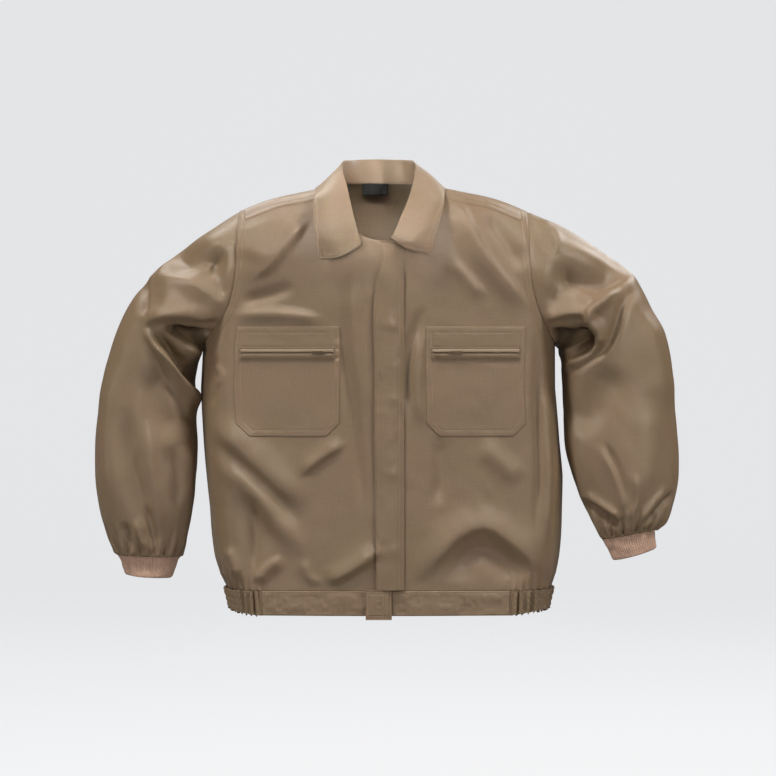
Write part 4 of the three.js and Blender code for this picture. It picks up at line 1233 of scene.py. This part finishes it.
def body_row(line, offset, face, lift):
    """A row of stitching at an offset from a line of the body."""
    step = side_step(line)
    x, z = line[:, 0] + step[:, 0] * offset, line[:, 1] + step[:, 1] * offset
    return on_body(x, z, face, lift), torso_normal(x, z, face)


rows = []
for line, start, face in seam_lines.values():
    for offset in (start + SEAM_ROW, start + SEAM_WIDTH - SEAM_ROW):
        rows.append(body_row(line, offset, face, 0.25))
topstitching("topstitching_seams", rows, "torso")


# %% Stitches of the pockets
for side, sign in (("left", 1), ("right", -1)):
    rows = []
    for inset in EDGE_ROWS:
        left, right = inset, POCKET_WIDTH - inset
        low, high = -POCKET_BELOW + inset, POCKET_ABOVE - inset
        cut = POCKET_CHAMFER - 0.58 * inset
        line = np.array([(left, high), (left, low + cut), (left + cut, low), (right - cut, low),
                         (right, low + cut), (right, high)])
        line = even_steps(line, 260)
        u, v = line[:, 0], line[:, 1]
        normals = torso_normal(*pocket_place(u, v, sign), FRONT)
        rows.append((on_pocket(u, v, side), normals))
    inset = EDGE_ROWS[0]
    straight = [(inset, POCKET_WIDTH - inset, POCKET_ABOVE - inset)]
    straight += [(SLIT_FROM - 3, SLIT_TO + 3, row) for row in MOUTH_ROWS]
    for u0, u1, v0 in straight:
        u = np.linspace(u0, u1, 90)
        v = np.full(90, v0)
        rows.append((on_pocket(u, v, side), torso_normal(*pocket_place(u, v, sign), FRONT)))
    topstitching(f"topstitching_pocket_{side}", rows, "torso")

# %% Stitches of the fly, waistband, tab and collar
z = np.linspace(FLY_BOTTOM + 2, FLY_TOP - 4, 240)
rows = []
for offset in (STITCH_X - FLY_ROW, STITCH_X - 1.2):
    x = np.full(240, offset)
    rows.append((on_body(x, z, FRONT, fly_lift(x, z)), torso_normal(x, z, FRONT)))
x = fly_edge(z) + 5.0
rows.append((on_body(x, z, FRONT, fly_lift(x, z)), torso_normal(x, z, FRONT)))
topstitching("topstitching_fly", rows, "fly")

rows = []
for face, spans in ((FRONT, [(-ELASTIC_FROM + 1, TAB_FROM_X - 1), (TAB_TO_X + 2, ELASTIC_FROM - 1)]),
                    (BACK, [(-ELASTIC_FROM + 1, ELASTIC_FROM - 1)])):
    for from_x, to_x in spans:
        for inset in (ROW_INSET, BAND_HEIGHT - ROW_INSET):
            x = np.linspace(from_x, to_x, 200)
            z = np.full(200, BAND_TOP - inset)
            z = z + hem_rise(x, z)
            place = torso_point(x, z, face) + torso_normal(x, z, face) * band_lift(z, x)[..., None]
            rows.append((place, torso_normal(x, z, face)))
topstitching("topstitching_waistband", rows, "torso")

x0, x1 = TAB_FROM_X + 3, TAB_TO_X - 1.5
z0, z1 = HEM + TAB_MARGIN + 1, BAND_TOP - TAB_MARGIN - 1.5
line = even_steps(np.array([(x0, z0), (x1, z0), (x1, z1), (x0, z1), (x0, z0)]), 160)
x, z = line[:, 0], line[:, 1]
normals = torso_normal(x, z, FRONT)
place = torso_point(x, z, FRONT) + normals * tab_lift(x, z)[:, None]
topstitching("topstitching_tab", [(place, normals)], "tab")

edge_at = int(round((1 - LEAF_STITCH / LEAF_WIDTH) * (LEAF_ROWS - 1)))
end_at = int(round(LEAF_STITCH / LEAF_LENGTH * (count - 1)))
free_edge = edge_at, slice(end_at, -end_at)
left_end = slice(8, edge_at), end_at
right_end = slice(8, edge_at), -1 - end_at
rows = [(leaf_points[part], leaf_normals[part]) for part in (free_edge, left_end, right_end)]
topstitching("topstitching_collar", rows, "torso")

# %% [markdown]
# ## Labels
# A plain black label hangs from the neck seam inside the back, and another is let into the left side
# seam. They carry no marks here.

# %% Labels
x, drop = np.meshgrid(np.linspace(-32, 8, 24), np.linspace(15, -2, 16))
seam_z = neck_line(np.arcsin(np.clip(np.abs(x) / NECK_HALF, 0, 1)), BACK_NECK)[1]
inside = torso_point(x, seam_z, BACK) - torso_normal(x, seam_z, BACK) * 2.6
inside = inside + np.stack([0 * x, 0.5 * drop, -drop], axis=2)
label = sheet("neck_label_plain", inside, LABEL, thick=0.5)
dress(label, "torso", ["neck_label"])
LABEL_Z, LABEL_HALF, LABEL_REACH = -530, 10, 9
label_z = np.linspace(LABEL_Z - LABEL_HALF, LABEL_Z + LABEL_HALF, 14)
reach, z = np.meshgrid(np.linspace(0, LABEL_REACH, 10), label_z)
side_x = half_width(z) - 0.5 + reach
side_y = -1.2 * (reach / LABEL_REACH) ** 2 * np.cos((z - LABEL_Z) / 9)
label = sheet("side_label_plain", np.stack([side_x, side_y, z], axis=2), LABEL, thick=0.8)
dress(label, "torso", ["side_label"])

# %% [markdown]
# ## Metal and teeth
# The snaps, sliders, pulls and teeth keep the frame's shapes and get their metals and nylon here.

# %% Hardware finishes
for name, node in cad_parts.items():
    finish = None
    if "snap_st" in name and name != "snap_stand" or "snap_so" in name:
        finish = SNAP_METAL
    elif "slider" in name or "pull" in name:
        finish = METAL
    elif "teeth" in name:
        finish = NYLON
    if finish:
        node.data.materials.clear()
        node.data.materials.append(finish)
print("hardware finished")

# %% [markdown]
# ## Floor, backdrop and light
# The jacket hangs before a pale sweep, which looks bright but throws little light on the cloth. A key
# light high on one side and a second on the other give the satin its highlights. Two low ones fill
# the hem and sleeves, two behind show the back, and a narrow one reaches down into the neck.

# %% Floor and backdrop
FLOOR_Z, SWEEP_FROM, SWEEP_RADIUS, WALL_TOP = -1.02, 4.6, 1.2, 5.2
sweep = [(-6.0, FLOOR_Z), (SWEEP_FROM, FLOOR_Z)]
for turn in np.linspace(0.12, math.pi / 2, 14):
    sweep_y = SWEEP_FROM + SWEEP_RADIUS * math.sin(turn)
    sweep_z = FLOOR_Z + SWEEP_RADIUS - SWEEP_RADIUS * math.cos(turn)
    sweep.append((sweep_y, sweep_z))
sweep.append((SWEEP_FROM + SWEEP_RADIUS, WALL_TOP))
mesh = bpy.data.meshes.new("backdrop")
verts = [(sx, y, z) for y, z in sweep for sx in (-7, 7)]
mesh.from_pydata(verts, [], [(2 * k, 2 * k + 1, 2 * k + 3, 2 * k + 2) for k in range(len(sweep) - 1)])
mesh.shade_smooth()
BACKDROP_GLOW = 0.77  # it looks bright but throws little light on the jacket
paper = plain_material("backdrop paper", (0.12, 0.12, 0.12, 1), 0.9)
tree = paper.node_tree
shader = tree.nodes["Principled BSDF"]
shader.inputs["Emission Color"].default_value = (0.97, 0.98, 1.0, 1)
seen = add_node(tree, "ShaderNodeLightPath").outputs["Is Camera Ray"]
tree.links.new(maths(tree, "MULTIPLY", seen, BACKDROP_GLOW), shader.inputs["Emission Strength"])
mesh.materials.append(paper)
backdrop = bpy.data.objects.new("backdrop", mesh)
bpy.context.scene.collection.objects.link(backdrop)


# %% Lights
def soft_light(name, place, aim, size, watts, colour=(1, 1, 1), spread=math.pi):
    data = bpy.data.lights.new(name, "AREA")
    data.shape = "RECTANGLE"
    data.size, data.size_y = size
    data.energy = watts
    data.color = colour
    data.spread = spread
    light = bpy.data.objects.new(name, data)
    light.location = place
    light.rotation_euler = (Vector(aim) - Vector(place)).to_track_quat("-Z", "Y").to_euler()
    bpy.context.scene.collection.objects.link(light)


WARM, MILD = (1.0, 0.97, 0.92), (1.0, 0.98, 0.95)
soft_light("key", (-1.2, -0.9, 2.3), (0, 0, -0.35), (0.55, 0.5), 68, WARM)
soft_light("second", (1.7, -0.8, 1.9), (0, 0, -0.35), (0.55, 0.5), 46, WARM)
soft_light("low left", (-1.9, -1.7, -0.3), (0, 0, -0.52), (0.4, 0.9), 15, WARM)
soft_light("low right", (1.9, -1.7, -0.3), (0, 0, -0.52), (0.4, 0.9), 13, WARM)
soft_light("back", (-0.9, 2.2, 2.1), (0, 0, -0.35), (1.2, 0.8), 26, MILD)
soft_light("back low", (1.6, 2.0, 1.4), (0, 0, -0.4), (0.8, 0.8), 26, MILD)
soft_light("front", (0.3, -3.6, 0.2), (0, 0, -0.35), (2.0, 1.4), 13, WARM)
soft_light("neck", (-0.02, -1.7, 0.2), (-0.005, 0.06, -0.045), (0.2, 0.2), 0.1, spread=math.radians(5))

# %% World
WORLD_LIGHT = 0.045
world = bpy.data.worlds.new("studio")
world.use_nodes = True
tree = world.node_tree
background = tree.nodes["Background"]
background.inputs[0].default_value = (0.93, 0.95, 1.0, 1)
seen = add_node(tree, "ShaderNodeLightPath").outputs["Is Camera Ray"]
strength = maths(tree, "ADD", maths(tree, "MULTIPLY", seen, BACKDROP_GLOW), WORLD_LIGHT)
tree.links.new(strength, background.inputs[1])
bpy.context.scene.world = world
bpy.context.scene.view_settings.view_transform = "Standard"
